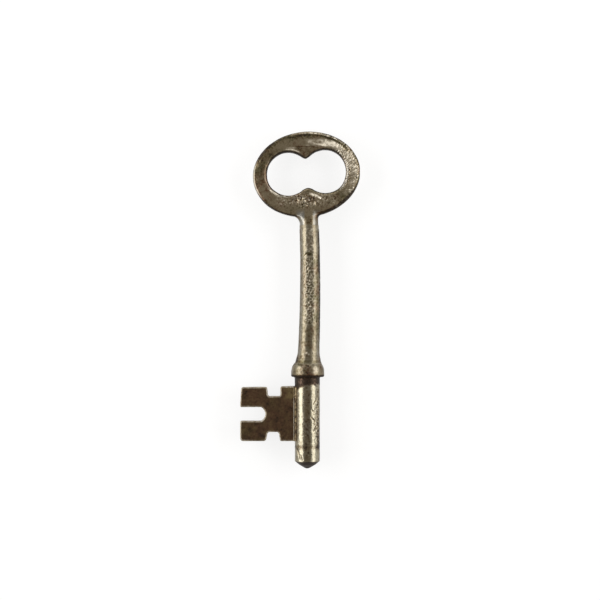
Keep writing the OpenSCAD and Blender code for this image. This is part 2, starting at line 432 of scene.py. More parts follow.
@dataclass(frozen=True)
class Wire:
    """A socket whose arithmetic adds Math nodes to its tree."""

    net: "Net"
    socket: bpy.types.NodeSocket

    def __add__(self, other: Any) -> "Wire":
        """Sum."""
        return self.net.maths("ADD", self, other)

    __radd__ = __add__

    def __sub__(self, other: Any) -> "Wire":
        """Difference."""
        return self.net.maths("SUBTRACT", self, other)

    def __rsub__(self, other: Any) -> "Wire":
        """Difference from a number."""
        return self.net.maths("SUBTRACT", other, self)

    def __mul__(self, other: Any) -> "Wire":
        """Product."""
        return self.net.maths("MULTIPLY", self, other)

    def held(self) -> "Wire":
        """The value, kept from 0 to 1."""
        return self.net.wire("ShaderNodeClamp", {}, {"Value": self})


class Net:
    """One material's or world's node tree."""

    def __init__(self, tree: bpy.types.NodeTree) -> None:
        """Empties a tree and keeps it."""
        self.tree = tree
        tree.nodes.clear()

    def node(self, kind: str, settings: dict[str, Any], sockets: dict[str | int, Any]) -> bpy.types.Node:
        """Adds a node.

        Args:
            kind: the node's type.
            settings: its properties, which are set first; "stops" are a colour ramp's places and greys.
            sockets: a value or a link for each of its inputs, by name or number.

        Returns:
            The node.
        """
        made = self.tree.nodes.new(kind)
        for name, value in settings.items():
            if name == "stops":
                self.set_stops(made.color_ramp, value)
            else:
                setattr(made, name, value)
        for name, value in sockets.items():
            if isinstance(value, Wire):
                self.tree.links.new(value.socket, made.inputs[name])
            else:
                made.inputs[name].default_value = value
        return made

    @staticmethod
    def set_stops(ramp: bpy.types.ColorRamp, stops: Sequence[Spot]) -> None:
        """Gives a ramp its stops.

        Args:
            ramp: the ramp.
            stops: each stop's place and grey.
        """
        while len(ramp.elements) < len(stops):
            ramp.elements.new(1.0)
        for element, (place, grey) in zip(ramp.elements, stops):
            element.position = place
            element.color = (grey, grey, grey, 1)

    def wire(self, kind: str, settings: dict[str, Any], sockets: dict[str | int, Any]) -> Wire:
        """Adds a node and gives its first output."""
        return Wire(self, self.node(kind, settings, sockets).outputs[0])

    def maths(self, operation: str, first: Any, second: Any) -> Wire:
        """Adds a Math node on two values."""
        return self.wire("ShaderNodeMath", {"operation": operation}, {0: first, 1: second})

    def blend(self, share: Any, first: Any, second: Any) -> Wire:
        """Adds a Mix node on two colours.

        Args:
            share: how much of the second it takes.
            first: a colour or a link.
            second: the other one.

        Returns:
            The link.
        """
        colours = {6: self.colour(first), 7: self.colour(second)}
        made = self.node("ShaderNodeMix", {"data_type": "RGBA"}, {0: share, **colours})
        return Wire(self, made.outputs[2])

    @staticmethod
    def colour(value: Any) -> Any:
        """A colour with its fourth number, or the link as it is."""
        return value if isinstance(value, Wire) else (*value, 1.0)

    def mask(self, name: str) -> Wire:
        """A mask that was painted on the mesh."""
        made = self.node("ShaderNodeAttribute", {"attribute_name": name}, {})
        return Wire(self, made.outputs["Fac"])

    def places(self, stretch: Sequence[float] = (1.0, 1.0, 1.0)) -> Wire:
        """Object coordinates in millimetres.

        Args:
            stretch: how many times longer a pattern gets along each axis.

        Returns:
            The link.
        """
        source = Wire(self, self.node("ShaderNodeTexCoord", {}, {}).outputs["Object"])
        factors = tuple(1 / (MM * s) for s in stretch)
        return self.wire("ShaderNodeVectorMath", {"operation": "MULTIPLY"}, {0: source, 1: factors})

    def grain(self, where: Wire, size: float, detail: float = 2.0, stops: Sequence[Spot] = ()) -> Wire:
        """Adds noise from 0 to 1.

        Args:
            where: the coordinates.
            size: width of its features in millimetres.
            detail: how many finer layers it has.
            stops: places and greys of a ramp that shapes it, if any.

        Returns:
            The link.
        """
        sockets = {"Vector": where, "Scale": 1 / size, "Detail": detail, "Roughness": 0.6}
        made = self.wire("ShaderNodeTexNoise", {}, sockets)
        return self.wire("ShaderNodeValToRGB", {"stops": stops}, {0: made}) if stops else made


@dataclass(frozen=True)
class OldMetal:
    """Worn metal, browned and rubbed bright in places, also carrying painted shade and painted highlights.

    It reads the painted masks patina (0 worn, 0.75 brown, 1 grimy or deep painted shade), scuff (1 rubbed
    bright or a painted highlight), warm (1 reddish) and clean (1 smooth and grey).
    """

    name: str
    worn: Colour
    olive: Colour = (0.088, 0.073, 0.03)
    rust: Colour = (0.12, 0.055, 0.027)
    grime_and_shade: Colour = (0.028, 0.018, 0.011)
    bare_and_highlight: Colour = (0.72, 0.65, 0.52)
    pale: Colour = (0.27, 0.262, 0.24)
    worn_roughness: float = 0.28
    patina_roughness: float = 0.42
    bare_roughness: float = 0.58
    mottle: float = 1.3
    mottle_share: float = 0.5
    mottle_stops: Sequence[Spot] = ((0.32, 0.0), (0.68, 1.0))
    speck: float = 0.45
    speck_share: float = 0.35
    speck_stops: Sequence[Spot] = ((0.36, 0.0), (0.66, 1.0))
    tint: float = 2.2
    tint_share: float = 2.4
    grain: float = 0.11
    grain_depth: float = 0.007
    grain_roughness: float = 0.15
    scratch: float = 0.16
    scratch_depth: float = 0.004
    scratch_stretch: Sequence[float] = (1.0, 9.0, 1.0)

    def material(self) -> bpy.types.Material:
        """Builds the node tree.

        Returns:
            The material.
        """
        made = bpy.data.materials.new(self.name)
        made.use_nodes = True
        net = Net(made.node_tree)
        where = net.places()
        mottle = net.grain(where, self.mottle, 4.0, self.mottle_stops)
        specks = net.grain(where, self.speck, 3.0, self.speck_stops)
        tint = (net.mask("warm") + (net.grain(where, self.tint) - 0.5) * self.tint_share).held()
        fine = net.grain(where, self.grain, 3.0)
        lines = net.grain(net.places(self.scratch_stretch), self.scratch)
        patina_and_shade, clean = net.mask("patina_and_shade"), net.mask("clean")
        spots = (mottle - 0.5) * self.mottle_share + (specks - 0.5) * self.speck_share
        brown = (patina_and_shade + spots * (1.0 - clean)).held()
        bare_and_highlight = (net.mask("scuff_and_highlight") * (0.5 + specks * 0.7)).held()
        stain = net.blend(tint, self.olive, self.rust)
        worn = net.blend(clean.held(), self.worn, self.pale)
        colour = net.blend((brown * 1.33).held(), worn, stain)
        # past 0.75 the mask turns near-black, for grimy hollows and for deep painted shade
        colour = net.blend((brown * 4 - 3).held(), colour, self.grime_and_shade)
        # the bright metal colour, which also paints the highlights
        colour = net.blend(bare_and_highlight, colour, self.bare_and_highlight)
        roughness = self.worn_roughness + brown * (self.patina_roughness - self.worn_roughness)
        roughness = roughness + (brown * 4 - 3).held() * 0.15
        roughness = roughness + bare_and_highlight * (self.bare_roughness - roughness)
        height = fine * self.grain_depth + lines * self.scratch_depth + specks * bare_and_highlight * 0.02
        sockets = {
            "Base Color": colour,
            "Metallic": 1.0 - brown * 0.15 - bare_and_highlight * 0.4,
            "Roughness": (roughness + (fine - 0.5) * self.grain_roughness).held(),
            "Normal": net.wire("ShaderNodeBump", {}, {"Height": height, "Distance": MM, "Strength": 1.0}),
        }
        shader = net.wire("ShaderNodeBsdfPrincipled", {}, sockets)
        net.node("ShaderNodeOutputMaterial", {}, {0: shader})
        return made


SHANK_METAL = OldMetal("worn_shank_metal", worn=(0.24, 0.208, 0.148))
PIN_METAL = OldMetal(
    "polished_pin_metal",
    worn=(0.315, 0.288, 0.215),
    olive=(0.14, 0.105, 0.052),
    rust=(0.07, 0.042, 0.028),
    worn_roughness=0.2,
    patina_roughness=0.36,
    mottle=0.9,
    mottle_share=0.28,
    speck_share=0.24,
)
BOW_METAL = OldMetal(
    "brown_bow_metal",
    worn=(0.33, 0.27, 0.18),
    # bright enough for the painted highlights on the ring's top
    bare_and_highlight=(0.92, 0.84, 0.69),
    bare_roughness=0.5,
    mottle_share=0.45,
    speck=0.42,
    speck_share=0.55,
)
BIT_METAL = OldMetal(
    "dark_bit_metal",
    worn=(0.28, 0.205, 0.1),
    olive=(0.1, 0.068, 0.033),
    rust=(0.112, 0.062, 0.036),
    bare_and_highlight=(0.46, 0.42, 0.35),
    patina_roughness=0.38,
    mottle_share=0.32,
    speck_share=0.18,
    scratch_stretch=(1.0, 3.0, 1.0),
)
FILLER_METAL = OldMetal(
    "golden_filler_metal",
    worn=(0.24, 0.19, 0.11),
    olive=(0.075, 0.052, 0.024),
    rust=(0.06, 0.036, 0.02),
    bare_and_highlight=(0.5, 0.45, 0.36),
)


def finished(bm: bmesh.types.BMesh, name: str) -> bpy.types.Mesh:
    """Makes a mesh of a bmesh.

    Args:
        bm: the bmesh, which is freed.
        name: the mesh's name.

    Returns:
        The mesh.
    """
    mesh = bpy.data.meshes.new(name)
    bm.to_mesh(mesh)
    bm.free()
    return mesh


def placed(name: str, data: bpy.types.ID) -> bpy.types.Object:
    """Puts a new object into the scene.

    Args:
        name: its name.
        data: the mesh, lamp or camera that it shows.

    Returns:
        The object.
    """
    made = bpy.data.objects.new(name, data)
    bpy.context.scene.collection.objects.link(made)
    return made


def spun(bm: bmesh.types.BMesh, axis: Sequence[float], steps: int) -> None:
    """Turns all that a bmesh holds into a full ring.

    Args:
        bm: the bmesh.
        axis: the direction of its axis, which goes through the origin.
        steps: how many sides the ring has.
    """
    bmesh.ops.spin(
        bm,
        geom=bm.verts[:] + bm.edges[:],
        cent=(0, 0, 0),
        axis=axis,
        angle=2 * math.pi,
        steps=steps,
        use_merge=True,
    )


def drawn_out(corners: Sequence[Sequence[float]], way: Sequence[float]) -> bmesh.types.BMesh:
    """Draws a flat outline out into a solid bar.

    Args:
        corners: the outline's corners in order.
        way: how far and which way it is drawn, in millimetres.

    Returns:
        The bar.
    """
    bm = bmesh.new()
    bm.faces.new([bm.verts.new(corner) for corner in corners])
    grown = bmesh.ops.extrude_face_region(bm, geom=bm.faces[:])
    top = [g for g in grown["geom"] if isinstance(g, bmesh.types.BMVert)]
    bmesh.ops.translate(bm, verts=top, vec=way)
    return bm


def rounded(bm: bmesh.types.BMesh, edges: Sequence[bmesh.types.BMEdge], size: float, steps: int) -> None:
    """Rounds some edges of a bmesh by a radius in millimetres, in a number of steps."""
    bmesh.ops.bevel(bm, geom=edges, offset=size, segments=steps, profile=0.5, affect="EDGES", material=-1)


def remeshed(shapes: Sequence[bmesh.types.BMesh], name: str, voxel: float) -> bpy.types.Mesh:
    """Joins overlapping closed shapes into one even skin.

    Args:
        shapes: the shapes, which are freed.
        name: the mesh's name.
        voxel: width of its faces in millimetres.

    Returns:
        The mesh.
    """
    joined = bmesh.new()
    for shape in shapes:
        part = finished(shape, f"{name}_part")
        joined.from_mesh(part)
        bpy.data.meshes.remove(part)
    rough = finished(joined, f"{name}_rough")
    holder = placed(rough.name, rough)
    cover = holder.modifiers.new("cover", "REMESH")
    cover.mode = "VOXEL"
    cover.voxel_size = voxel
    view = bpy.context.evaluated_depsgraph_get()
    mesh = bpy.data.meshes.new_from_object(holder.evaluated_get(view))
    bpy.data.objects.remove(holder)
    bpy.data.meshes.remove(rough)
    return mesh


def lathe(name: str, profile: Sequence[Spot], sides: int, step: float) -> bpy.types.Mesh:
    """Turns a profile round the key's axis.

    Args:
        name: the mesh's name.
        profile: radius and height of its points; it is closed unless both ends are on the axis.
        sides: how many sides a full turn has.
        step: greatest distance between rows, in millimetres.

    Returns:
        The mesh.
    """
    bm = bmesh.new()
    verts = [bm.verts.new((r, y, 0)) for r, y in profile]
    pairs = list(zip(verts, verts[1:]))
    if profile[0][0] > 0:
        pairs.append((verts[-1], verts[0]))
    for pair in pairs:
        bm.edges.new(pair)
    while wide := [edge for edge in bm.edges if edge.calc_length() > step]:
        bmesh.ops.subdivide_edges(bm, edges=wide, cuts=1)
    spun(bm, (0, 1, 0), sides)
    bmesh.ops.remove_doubles(bm, verts=bm.verts, dist=TINY)
    bmesh.ops.recalc_face_normals(bm, faces=bm.faces)
    return finished(bm, name)


def show(skin: Skin, name: str, slot: Slot, finish: OldMetal, *nodes: str) -> None:
    """Puts a finished skin into the scene in place of solids.

    Args:
        skin: the skin.
        name: the piece's name.
        slot: the record's slot of its finish, which is not used here.
        finish: its finish.
        nodes: the solids that it stands for.
    """
    skin.mesh.transform(Matrix.Scale(MM, 4))
    skin.mesh.shade_smooth()
    skin.mesh.materials.append(bpy.data.materials.get(finish.name) or finish.material())
    piece = placed(name, skin.mesh)
    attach(piece, "root")
    if nodes:
        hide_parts(*nodes)
    log.info("%s: %d points", name, skin.count)


class Piece(ABC):
    """A piece of the key with one skin, which is formed, worn and painted in turn."""

    name: str
    node: str
    slot: Slot
    finish: OldMetal
    seed: int
    uneven: tuple[Spot, ...]
    skin: Skin

    @abstractmethod
    def form(self) -> Skin:
        """Makes the piece's plain form."""

    @abstractmethod
    def sculpt(self) -> None:
        """Wears the form."""

    @abstractmethod
    def paint(self) -> None:
        """Paints the masks that the finish reads."""

    def build(self) -> None:
        """Builds and dresses the piece."""
        self.skin = self.form()
        self.sculpt()
        self.paint()
        show(self.skin, self.name, self.slot, self.finish, self.node)


@dataclass
class Bow(Piece):
    """The leaning oval ring with its two-lobed eye, and the neck that runs into it.

    The marks along the rim and the eye's wall are a direction and a width in degrees, and how far the
    wall moves. Each of the rim's painted shades has a strength, its arc, how far it reaches in, and its
    softness.
    """

    name: str = "cast_bow"
    node: str = "bow"
    slot: Slot = Slot.BOW
    finish: OldMetal = BOW_METAL
    seed: int = 3
    uneven: tuple[Spot, ...] = ((3.2, 0.1), (0.95, 0.05), (0.5, 0.022))
    bow_w: float = 25.45
    bow_lean: float = 6.4
    bow_t: float = 3.2
    crown_drop: float = 0.12
    neck_fillet_left: float = 2.0
    neck_fillet_right: float = 1.2
    neck_run: float = 6.4
    lobe_r: float = 5.0
    lobe_offset: float = 4.4
    upper_cusp: float = 3.4
    lower_cusp: float = 3.55
    eye_lean: float = 4.2
    eye_shift: Spot = (0.05, 0.37)
    eye_stretch: Spot = (0.985, 1.004)
    section_w: float = 3.3
    rim_round: tuple[Spot, ...] = ((0.0, 0.74), (0.1, 1.02), (0.28, 1.27), (0.62, 1.42), (1.2, 1.53))
    eye_round: tuple[Spot, ...] = ((1.0, 1.54), (0.62, 1.45), (0.36, 1.31), (0.13, 1.06), (0.0, 0.8))
    rim_growth: float = 0.06
    mean_r: float = 11.4
    neck_edge: float = 59.3
    face_z: float = 0.3
    deep_pits: tuple[Spot, ...] = ((11.62, 70.15), (9.97, 69.15), (11.6, 67.2))
    glints: tuple[Spot, ...] = ((10.2, 71.3), (11.2, 69.75), (7.5, 73.45), (8.0, 72.9), (11.9, 67.6))
    rim_flecks: tuple[Spot, ...] = ((0.95, 77.75), (2.0, 77.65), (4.8, 77.05), (6.5, 76.5))
    # darker and paler patches on the face, partly stains and partly a painted sheen and painted shade
    brown_and_shade_patches: tuple[Patch, ...] = (
        (0.1, (-0.6, 73.0), (2.4, 1.2), 0.4, 0),
        (0.4, (6.2, 74.45), (1.3, 0.22), 0.8, -28),
        (-0.12, (0.0, 58.6), (2.0, 1.0), 0.4, 0),
        (-0.22, (-4.0, 74.9), (2.6, 0.7), 0.7, 6),
        (0.2, (8.6, 63.4), (2.6, 1.0), 0.7, 42),
        (0.15, (-10.6, 70.0), (0.9, 4.0), 0.7, 0),
        (0.15, (-8.6, 72.6), (1.2, 1.2), 0.7, 0),
    )
    red_patches: tuple[Patch, ...] = (
        (0.5, (-9.5, 64.5), (3.5, 3.5), 0.5, 0),
        (0.35, (-0.5, 74.5), (3.5, 3.0), 0.5, 0),
        (-0.35, (-5.5, 76.0), (3.0, 1.5), 0.5, 0),
        (-0.3, (9.0, 63.5), (3.0, 2.5), 0.5, 0),
    )
    # brighter patches, mostly painted highlights: a line under the top's bright patch, a line on the upper
    # left lobe's bevel and a speck
    bare_patches: tuple[Patch, ...] = (
        (1.1, (3.4, 74.93), (1.35, 0.17), 0.8, -9),
        (0.35, (-3.7, 74.2), (1.1, 0.2), 0.6, -3),
        (0.25, (0.05, 74.7), (0.4, 0.3), 0.6, 0),
    )
    # painted highlight: the bright patch over the top right of the ring
    painted_shine: tuple[Patch, ...] = (
        (0.95, (4.4, 75.4), (1.3, 0.6), 1.0, -15),
        (1.3, (6.4, 75.0), (1.6, 0.5), 1.0, -20),
        (0.5, (2.0, 75.5), (2.0, 0.7), 0.8, -5),
    )
    # painted highlights along the lower cusp's ridge
    highlight_streaks: tuple[Patch, ...] = (
        (0.3, (2.0, 62.85), (1.6, 0.35), 0.8, -22),
        (0.75, (1.5, 63.1), (0.6, 0.2), 0.8, -15),
        (0.75, (3.0, 62.5), (0.36, 0.2), 0.8, -35),
    )
    rough_arc: Arc = (-34, 16, 52, 16)
    filed_arc: Arc = (18, 12, 84, 12)
    groove_arc: Arc = (22, 14, 150, 60)
    edge_arc: Arc = (15, 20, 110, 30)
    # painted highlight along the eye's upper edge
    eye_highlight_arc: Arc = (104, 8, 134, 8)
    shade_arc: Arc = (70, 14, 122, 14)
    # painted shade on the eye's upper walls
    shaded_wall_arc: Arc = (20, 14, 166, 14)
    olive_arc: Arc = (20, 20, 150, 20)
    left_arc: Arc = (168, 10, 234, 14)
    far_left_arc: Arc = (146, 14, 236, 14)
    # painted highlight along the outer left edge
    rim_highlight_arc: Arc = (166, 8, 212, 12)
    right_arc: Arc = (-40, 20, 75, 20)
    # painted shade along the outer rim: its lower edges, its right side and its upper left
    rim_painted_shades: tuple[tuple[float, Arc, float, float], ...] = (
        (0.9, (-82, 12, -10, 22), 0.95, 0.3),
        (0.7, (-164, 20, -100, 8), 0.55, 0.25),
        (0.42, right_arc, 0.55, 0.2),
        (0.3, right_arc, 0.95, 0.3),
        (0.45, (106, 10, 172, 10), 0.85, 0.25),
    )
    rim_marks: tuple[tuple[float, float, float], ...] = ((8, 30, 0.1), (-134, 20, 0.1))
    eye_marks: tuple[tuple[float, float, float], ...] = (
        (-166, 15, 0.13),
        (-28, 12, 0.17),
        (90, 6, -0.13),
        (73, 7, 0.07),
        (107, 7, 0.07),
        (-90, 7, -0.04),
        (-71, 8, 0.05),
        (-109, 8, 0.05),
    )
    folds: tuple[Groove, ...] = (
        ((-1.1, 63.1), (0.3, 63.0), 0.5, 0.07),
        ((0.1, 62.95), (1.8, 62.35), 0.5, 0.09),
        ((1.75, 62.4), (2.25, 61.4), 0.45, 0.08),
        ((0.5, 63.45), (2.0, 62.95), 0.75, -0.11),
        ((2.0, 62.9), (3.2, 62.3), 0.7, -0.13),
        ((-2.9, 61.65), (-2.2, 61.8), 0.45, 0.1),
        ((-1.9, 61.4), (-1.8, 62.0), 0.35, 0.08),
    )
    lumps: tuple[Spot, ...] = ((-2.15, 61.45), (-1.3, 61.75), (-0.65, 61.75), (1.3, 61.9), (1.15, 61.1))
    hub_r: float = 8.0
    stations: int = 288
    wall_points: int = 1440
    neck_sides: int = 72
    neck_rows: int = 32
    voxel: float = 0.104
    from_rim: np.ndarray = field(init=False)
    from_eye: np.ndarray = field(init=False)
    turn: np.ndarray = field(init=False)
    flat: np.ndarray = field(init=False)
    groove: np.ndarray = field(init=False)

    def eye_reach(self, angle: np.ndarray) -> np.ndarray:
        """Distance from the eye's centre to its wall.

        Args:
            angle: the direction in radians.

        Returns:
            The distance, to a cusp's arc or to a lobe's, whichever lies that way.
        """
        tip = np.where(np.sin(angle) > 0, self.upper_cusp, self.lower_cusp)
        r = (self.lobe_offset**2 + tip**2 - self.lobe_r**2) / (2 * (self.lobe_r - tip))
        across, up = np.abs(np.cos(angle)), np.abs(np.sin(angle))
        middle = tip + r
        on_cusp = across * middle * self.lobe_r < up * self.lobe_offset * r
        cusp = middle * up - np.sqrt(np.clip(r * r - (middle * across) ** 2, 0, None))
        lobe = self.lobe_offset * across + np.sqrt(self.lobe_r**2 - (self.lobe_offset * up) ** 2)
        return np.where(on_cusp, cusp, lobe)

    def oval_reach(self, angle: np.ndarray) -> np.ndarray:
        """Distance from the oval's centre to its edge in a direction in radians."""
        a, b = self.bow_w / 2, PLAN.bow_h / 2
        return a * b / np.hypot(b * np.cos(angle), a * np.sin(angle))

    def walls(self, angle: np.ndarray) -> tuple[np.ndarray, np.ndarray]:
        """Points of the eye's wall and of the rim, seen from the oval's centre.

        Args:
            angle: the direction in radians.

        Returns:
            The wall's points and the rim's.
        """
        out = np.stack([np.cos(angle), np.sin(angle)], axis=-1)
        lean = math.radians(self.eye_lean)
        eye = self.eye_reach(angle - lean)
        for bearing, wide, more in self.eye_marks:
            eye = eye + more * self.near_angle(angle - lean, bearing, wide)
        rim = self.oval_reach(angle - math.radians(self.bow_lean)) + self.rim_growth
        for bearing, wide, more in self.rim_marks:
            rim = rim + more * self.near_angle(angle, bearing, wide)
        return eye[..., None] * out * self.eye_stretch + self.eye_shift, rim[..., None] * out

    def gap_to_eye(self, place: np.ndarray) -> np.ndarray:
        """Distance to the nearest point of the eye's wall.

        Args:
            place: the places, seen from the oval's centre.

        Returns:
            The distance of each.
        """
        wall = self.walls(np.linspace(-math.pi, math.pi, self.wall_points, endpoint=False))[0]
        tree = KDTree(len(wall))
        for number, spot in enumerate(wall.tolist()):
            tree.insert((*spot, 0), number)
        tree.balance()
        return np.array([tree.find((*spot, 0))[2] for spot in place.tolist()])

    @staticmethod
    def near_angle(angle: np.ndarray, bearing: float, wide: float) -> np.ndarray:
        """Soft mask that is 1 in one direction, given with its width in degrees, and 0 away from it."""
        off = (np.degrees(angle) - bearing + 180) % 360 - 180
        return np.exp(-((off / wide) ** 2))

    def oval_floor(self, x: float) -> float:
        """Height of the oval's lower edge, seen from the oval's centre.

        Args:
            x: the sideways place, seen from there too.

        Returns:
            The height.
        """
        a, b, lean = self.bow_w / 2, PLAN.bow_h / 2, math.radians(self.bow_lean)
        d = (a * math.cos(lean)) ** 2 + (b * math.sin(lean)) ** 2
        return (x * math.sin(lean) * math.cos(lean) * (a * a - b * b) - a * b * math.sqrt(d - x * x)) / d

    def fillet_reach(self, radius: float, y: float, side: int) -> float:
        """Reach of the fillet between neck and oval.

        Args:
            radius: the fillet's radius.
            y: the height.
            side: -1 on the left and 1 on the right.

        Returns:
            How far it stands out from the neck.
        """
        x = PLAN.bend_x(PLAN.neck_y) - PLAN.bow_shift + side * (PLAN.stem_top_d / 2 + radius)
        rise = y - (PLAN.bow_y + self.oval_floor(x) - radius)
        rise = min(max(rise, 0.0), 0.98 * radius)
        return radius - math.sqrt(radius * radius - rise * rise)

    def ring(self) -> bmesh.types.BMesh:
        """Spins the bow's rounded section into a ring and lays it between the eye and the rim.

        Returns:
            The ring.
        """
        w = self.section_w
        front = [*((w - d, z) for d, z in self.rim_round), (w / 2, self.bow_t / 2), *self.eye_round]
        outline = front + [(d, -z) for d, z in reversed(front)]
        bm = bmesh.new()
        verts = [bm.verts.new((self.hub_r + d, 0, z)) for d, z in outline]
        for pair in zip(verts, verts[1:] + verts[:1]):
            bm.edges.new(pair)
        spun(bm, (0, 0, 1), self.stations)
        low, high = self.eye_round[0][0], w - self.rim_round[-1][0]
        for vert in bm.verts:
            angle = np.array(math.atan2(vert.co.y, vert.co.x))
            inner, outer = self.walls(angle)
            wide = float(np.linalg.norm(outer - inner))
            reach = math.hypot(vert.co.x, vert.co.y) - self.hub_r
            reach += (wide - w) * min(max((reach - low) / (high - low), 0.0), 1.0)
            place = inner + (outer - inner) * reach / wide
            vert.co.x, vert.co.y = PLAN.bow_shift + place[0], PLAN.bow_y + place[1]
        bmesh.ops.recalc_face_normals(bm, faces=bm.faces)
        return bm

    def neck(self) -> bmesh.types.BMesh:
        """Builds the neck, a round bar that flattens and sinks into the ring.

        Returns:
            The neck.
        """
        bm = bmesh.new()
        bmesh.ops.create_cone(
            bm, cap_ends=True, segments=self.neck_sides, radius1=1.0, radius2=1.0, depth=1.0
        )
        uprights = [e for e in bm.edges if e.verts[0].co.z * e.verts[1].co.z < 0]
        bmesh.ops.subdivide_edges(bm, edges=uprights, cuts=self.neck_rows)
        r = PLAN.stem_top_d / 2
        sunk = self.bow_t / 2 - self.crown_drop - 0.05
        for vert in bm.verts:
            share = vert.co.z + 0.5
            y = PLAN.neck_y + self.neck_run * share
            left = vert.co.x < 0
            radius = self.neck_fillet_left if left else self.neck_fillet_right
            wide = r + self.fillet_reach(radius, y, -1 if left else 1)
            thick = r + (sunk - r) * ease(share)
            vert.co = Vector((PLAN.bend_x(y) + wide * vert.co.x, y, thick * vert.co.y))
        bmesh.ops.recalc_face_normals(bm, faces=bm.faces)
        return bm

    def form(self) -> Skin:
        """The ring and the neck in one skin."""
        return Skin(remeshed([self.ring(), self.neck()], "bow_skin", self.voxel), self.seed)

    def sculpt(self) -> None:
        """Gives the cast ring its worn form: the sloping cusp, the rim's groove, lumps and pits."""
        skin = self.skin
        x, y = skin.x, skin.y
        joint = skin.patch((0.2, self.neck_edge), (3.4, 3.2), 0.3)
        skin.smooth(3)
        skin.smooth(16, joint)
        place = np.stack([x - PLAN.bow_shift, y - PLAN.bow_y], axis=1)
        turn = np.arctan2(place[:, 1], place[:, 0])
        self.from_rim = np.linalg.norm(self.walls(turn)[1], axis=1) - np.linalg.norm(place, axis=1)
        self.from_eye = self.gap_to_eye(place)
        self.turn = np.degrees(turn)
        self.flat = ease((skin.facing - 0.5) / 0.3)
        slope = np.clip((74.45 - y) / 2.25, 0, 1.2) * ease((3.1 - np.abs(x + 0.6)) / 0.9) * (y > 70)
        skin.points[:, 2] *= 1 - 0.26 * slope
        skin.scratch((-3.0, 74.5), (1.9, 74.5), 0.35, 0.07)
        wide = 0.26 + 0.14 * ease((46 - self.turn) / 10)
        self.groove = bell(self.from_rim, 0.98, wide) * (1 - joint) * self.arc(*self.groove_arc)
        skin.press(0.08 * self.groove * self.flat)
        skin.read_normals()
        rough = self.rough_side()
        band = skin.patch((-0.25, 61.6), (3.0, 1.6), 0.4) * self.flat
        skin.wobble(*self.uneven)
        skin.smooth(8, ease((60.0 - y) / 1.2))
        self.add_lumps(band)
        self.add_pits(rough)
        skin.smooth(1, 0.5)
        skin.keep_inside("bow")

    def arc(self, start: float, rise: float, stop: float, fall: float) -> np.ndarray:
        """Soft mask of a stretch of the ring, in degrees that may run on past the left side."""
        return span(self.turn % 360 if stop > 180 else self.turn, start, rise, stop, fall)

    def rough_side(self) -> np.ndarray:
        """Mask of the ring's rough right side, worn to bright metal on its faces."""
        return self.arc(*self.rough_arc) * ease((self.skin.x - 3) / 4)

    def low_part(self) -> np.ndarray:
        """Mask of the ring's lower part, left grainy by the casting."""
        x, y = self.skin.x, self.skin.y
        return ease((64.2 - y) / 1.5) * ease((8.5 - np.abs(x)) / 3) * ease((y - 59.8) / 1.4)

    def add_lumps(self, band: np.ndarray) -> None:
        """Raises the rough lumps where the stem meets the ring.

        Args:
            band: mask of the rough place.
        """
        skin = self.skin
        skin.press(-0.075 * band * np.clip(skin.noise(0.4, 4) * 1.8, -1, 1))
        skin.press(0.06 * band * skin.dimples(0.5, 5))
        for fold in self.folds:
            skin.scratch(*fold)
        for spot in self.lumps:
            skin.dent((*spot, 1.5), 0.35, -0.08)
        skin.read_normals()

    def above_neck(self) -> np.ndarray:
        """Mask of all that lies above the neck's upper end."""
        return ease((self.skin.y - self.neck_edge) / 1.2)

    def face(self) -> np.ndarray:
        """Mask of the front and the back, a tenth as strong round the middle of the rim."""
        return 0.1 + 0.9 * ease((np.abs(self.skin.z) - self.face_z) / 0.5)

    def strokes(self, seed: int) -> np.ndarray:
        """Short file strokes across the ring.

        Args:
            seed: number that picks the pattern.

        Returns:
            The strokes, from 0 to 1.
        """
        along = np.radians(self.turn) * self.mean_r + 0.35 * self.from_rim
        waves = np.sin(along * 2 * math.pi / 0.58 + 5 * self.skin.noise(1.3, seed))
        return np.clip(0.5 + 0.35 * waves + 0.45 * self.skin.noise(0.5, seed + 1), 0, 1)

    def add_pits(self, rough: np.ndarray) -> None:
        """Presses the pits of the rough side, the file marks of the rim, and a few pits elsewhere.

        Args:
            rough: mask of the rough side.
        """
        skin, above_neck = self.skin, self.above_neck()
        skin.press(0.035 * rough * self.flat * skin.dimples(0.6, 6))
        skin.press(0.02 * rough * self.flat * np.clip(skin.noise(0.42, 7) * 1.5, -1, 1))
        skin.press(0.1 * rough * self.flat * self.strokes(21))
        skin.press(0.03 * (1 - rough) * self.flat * above_neck * skin.dimples(0.75, 8))
        skin.press(0.04 * self.low_part() * self.flat * np.clip(skin.noise(0.45, 16, 2) * 1.6, -1, 1))
        along = np.radians(self.turn) * self.mean_r
        marks = np.sin(along * 2 * math.pi / 0.5 + skin.noise(1.5, 9) * 4)
        filed = self.arc(*self.filed_arc) * ease((0.9 - self.from_rim) / 0.2)
        skin.press(0.05 * filed * self.flat * (0.5 + 0.5 * marks))
        for spot in self.deep_pits:
            skin.dent((*spot, 1.35), 0.3, 0.12)
        for spot in self.glints:
            skin.dent((*spot, 1.4), 0.28, -0.06)
        everywhere = skin.some_points(self.flat * above_neck, 160)
        skin.pits(everywhere, (0.15, 0.34), (0.02, 0.06))
        skin.read_normals()

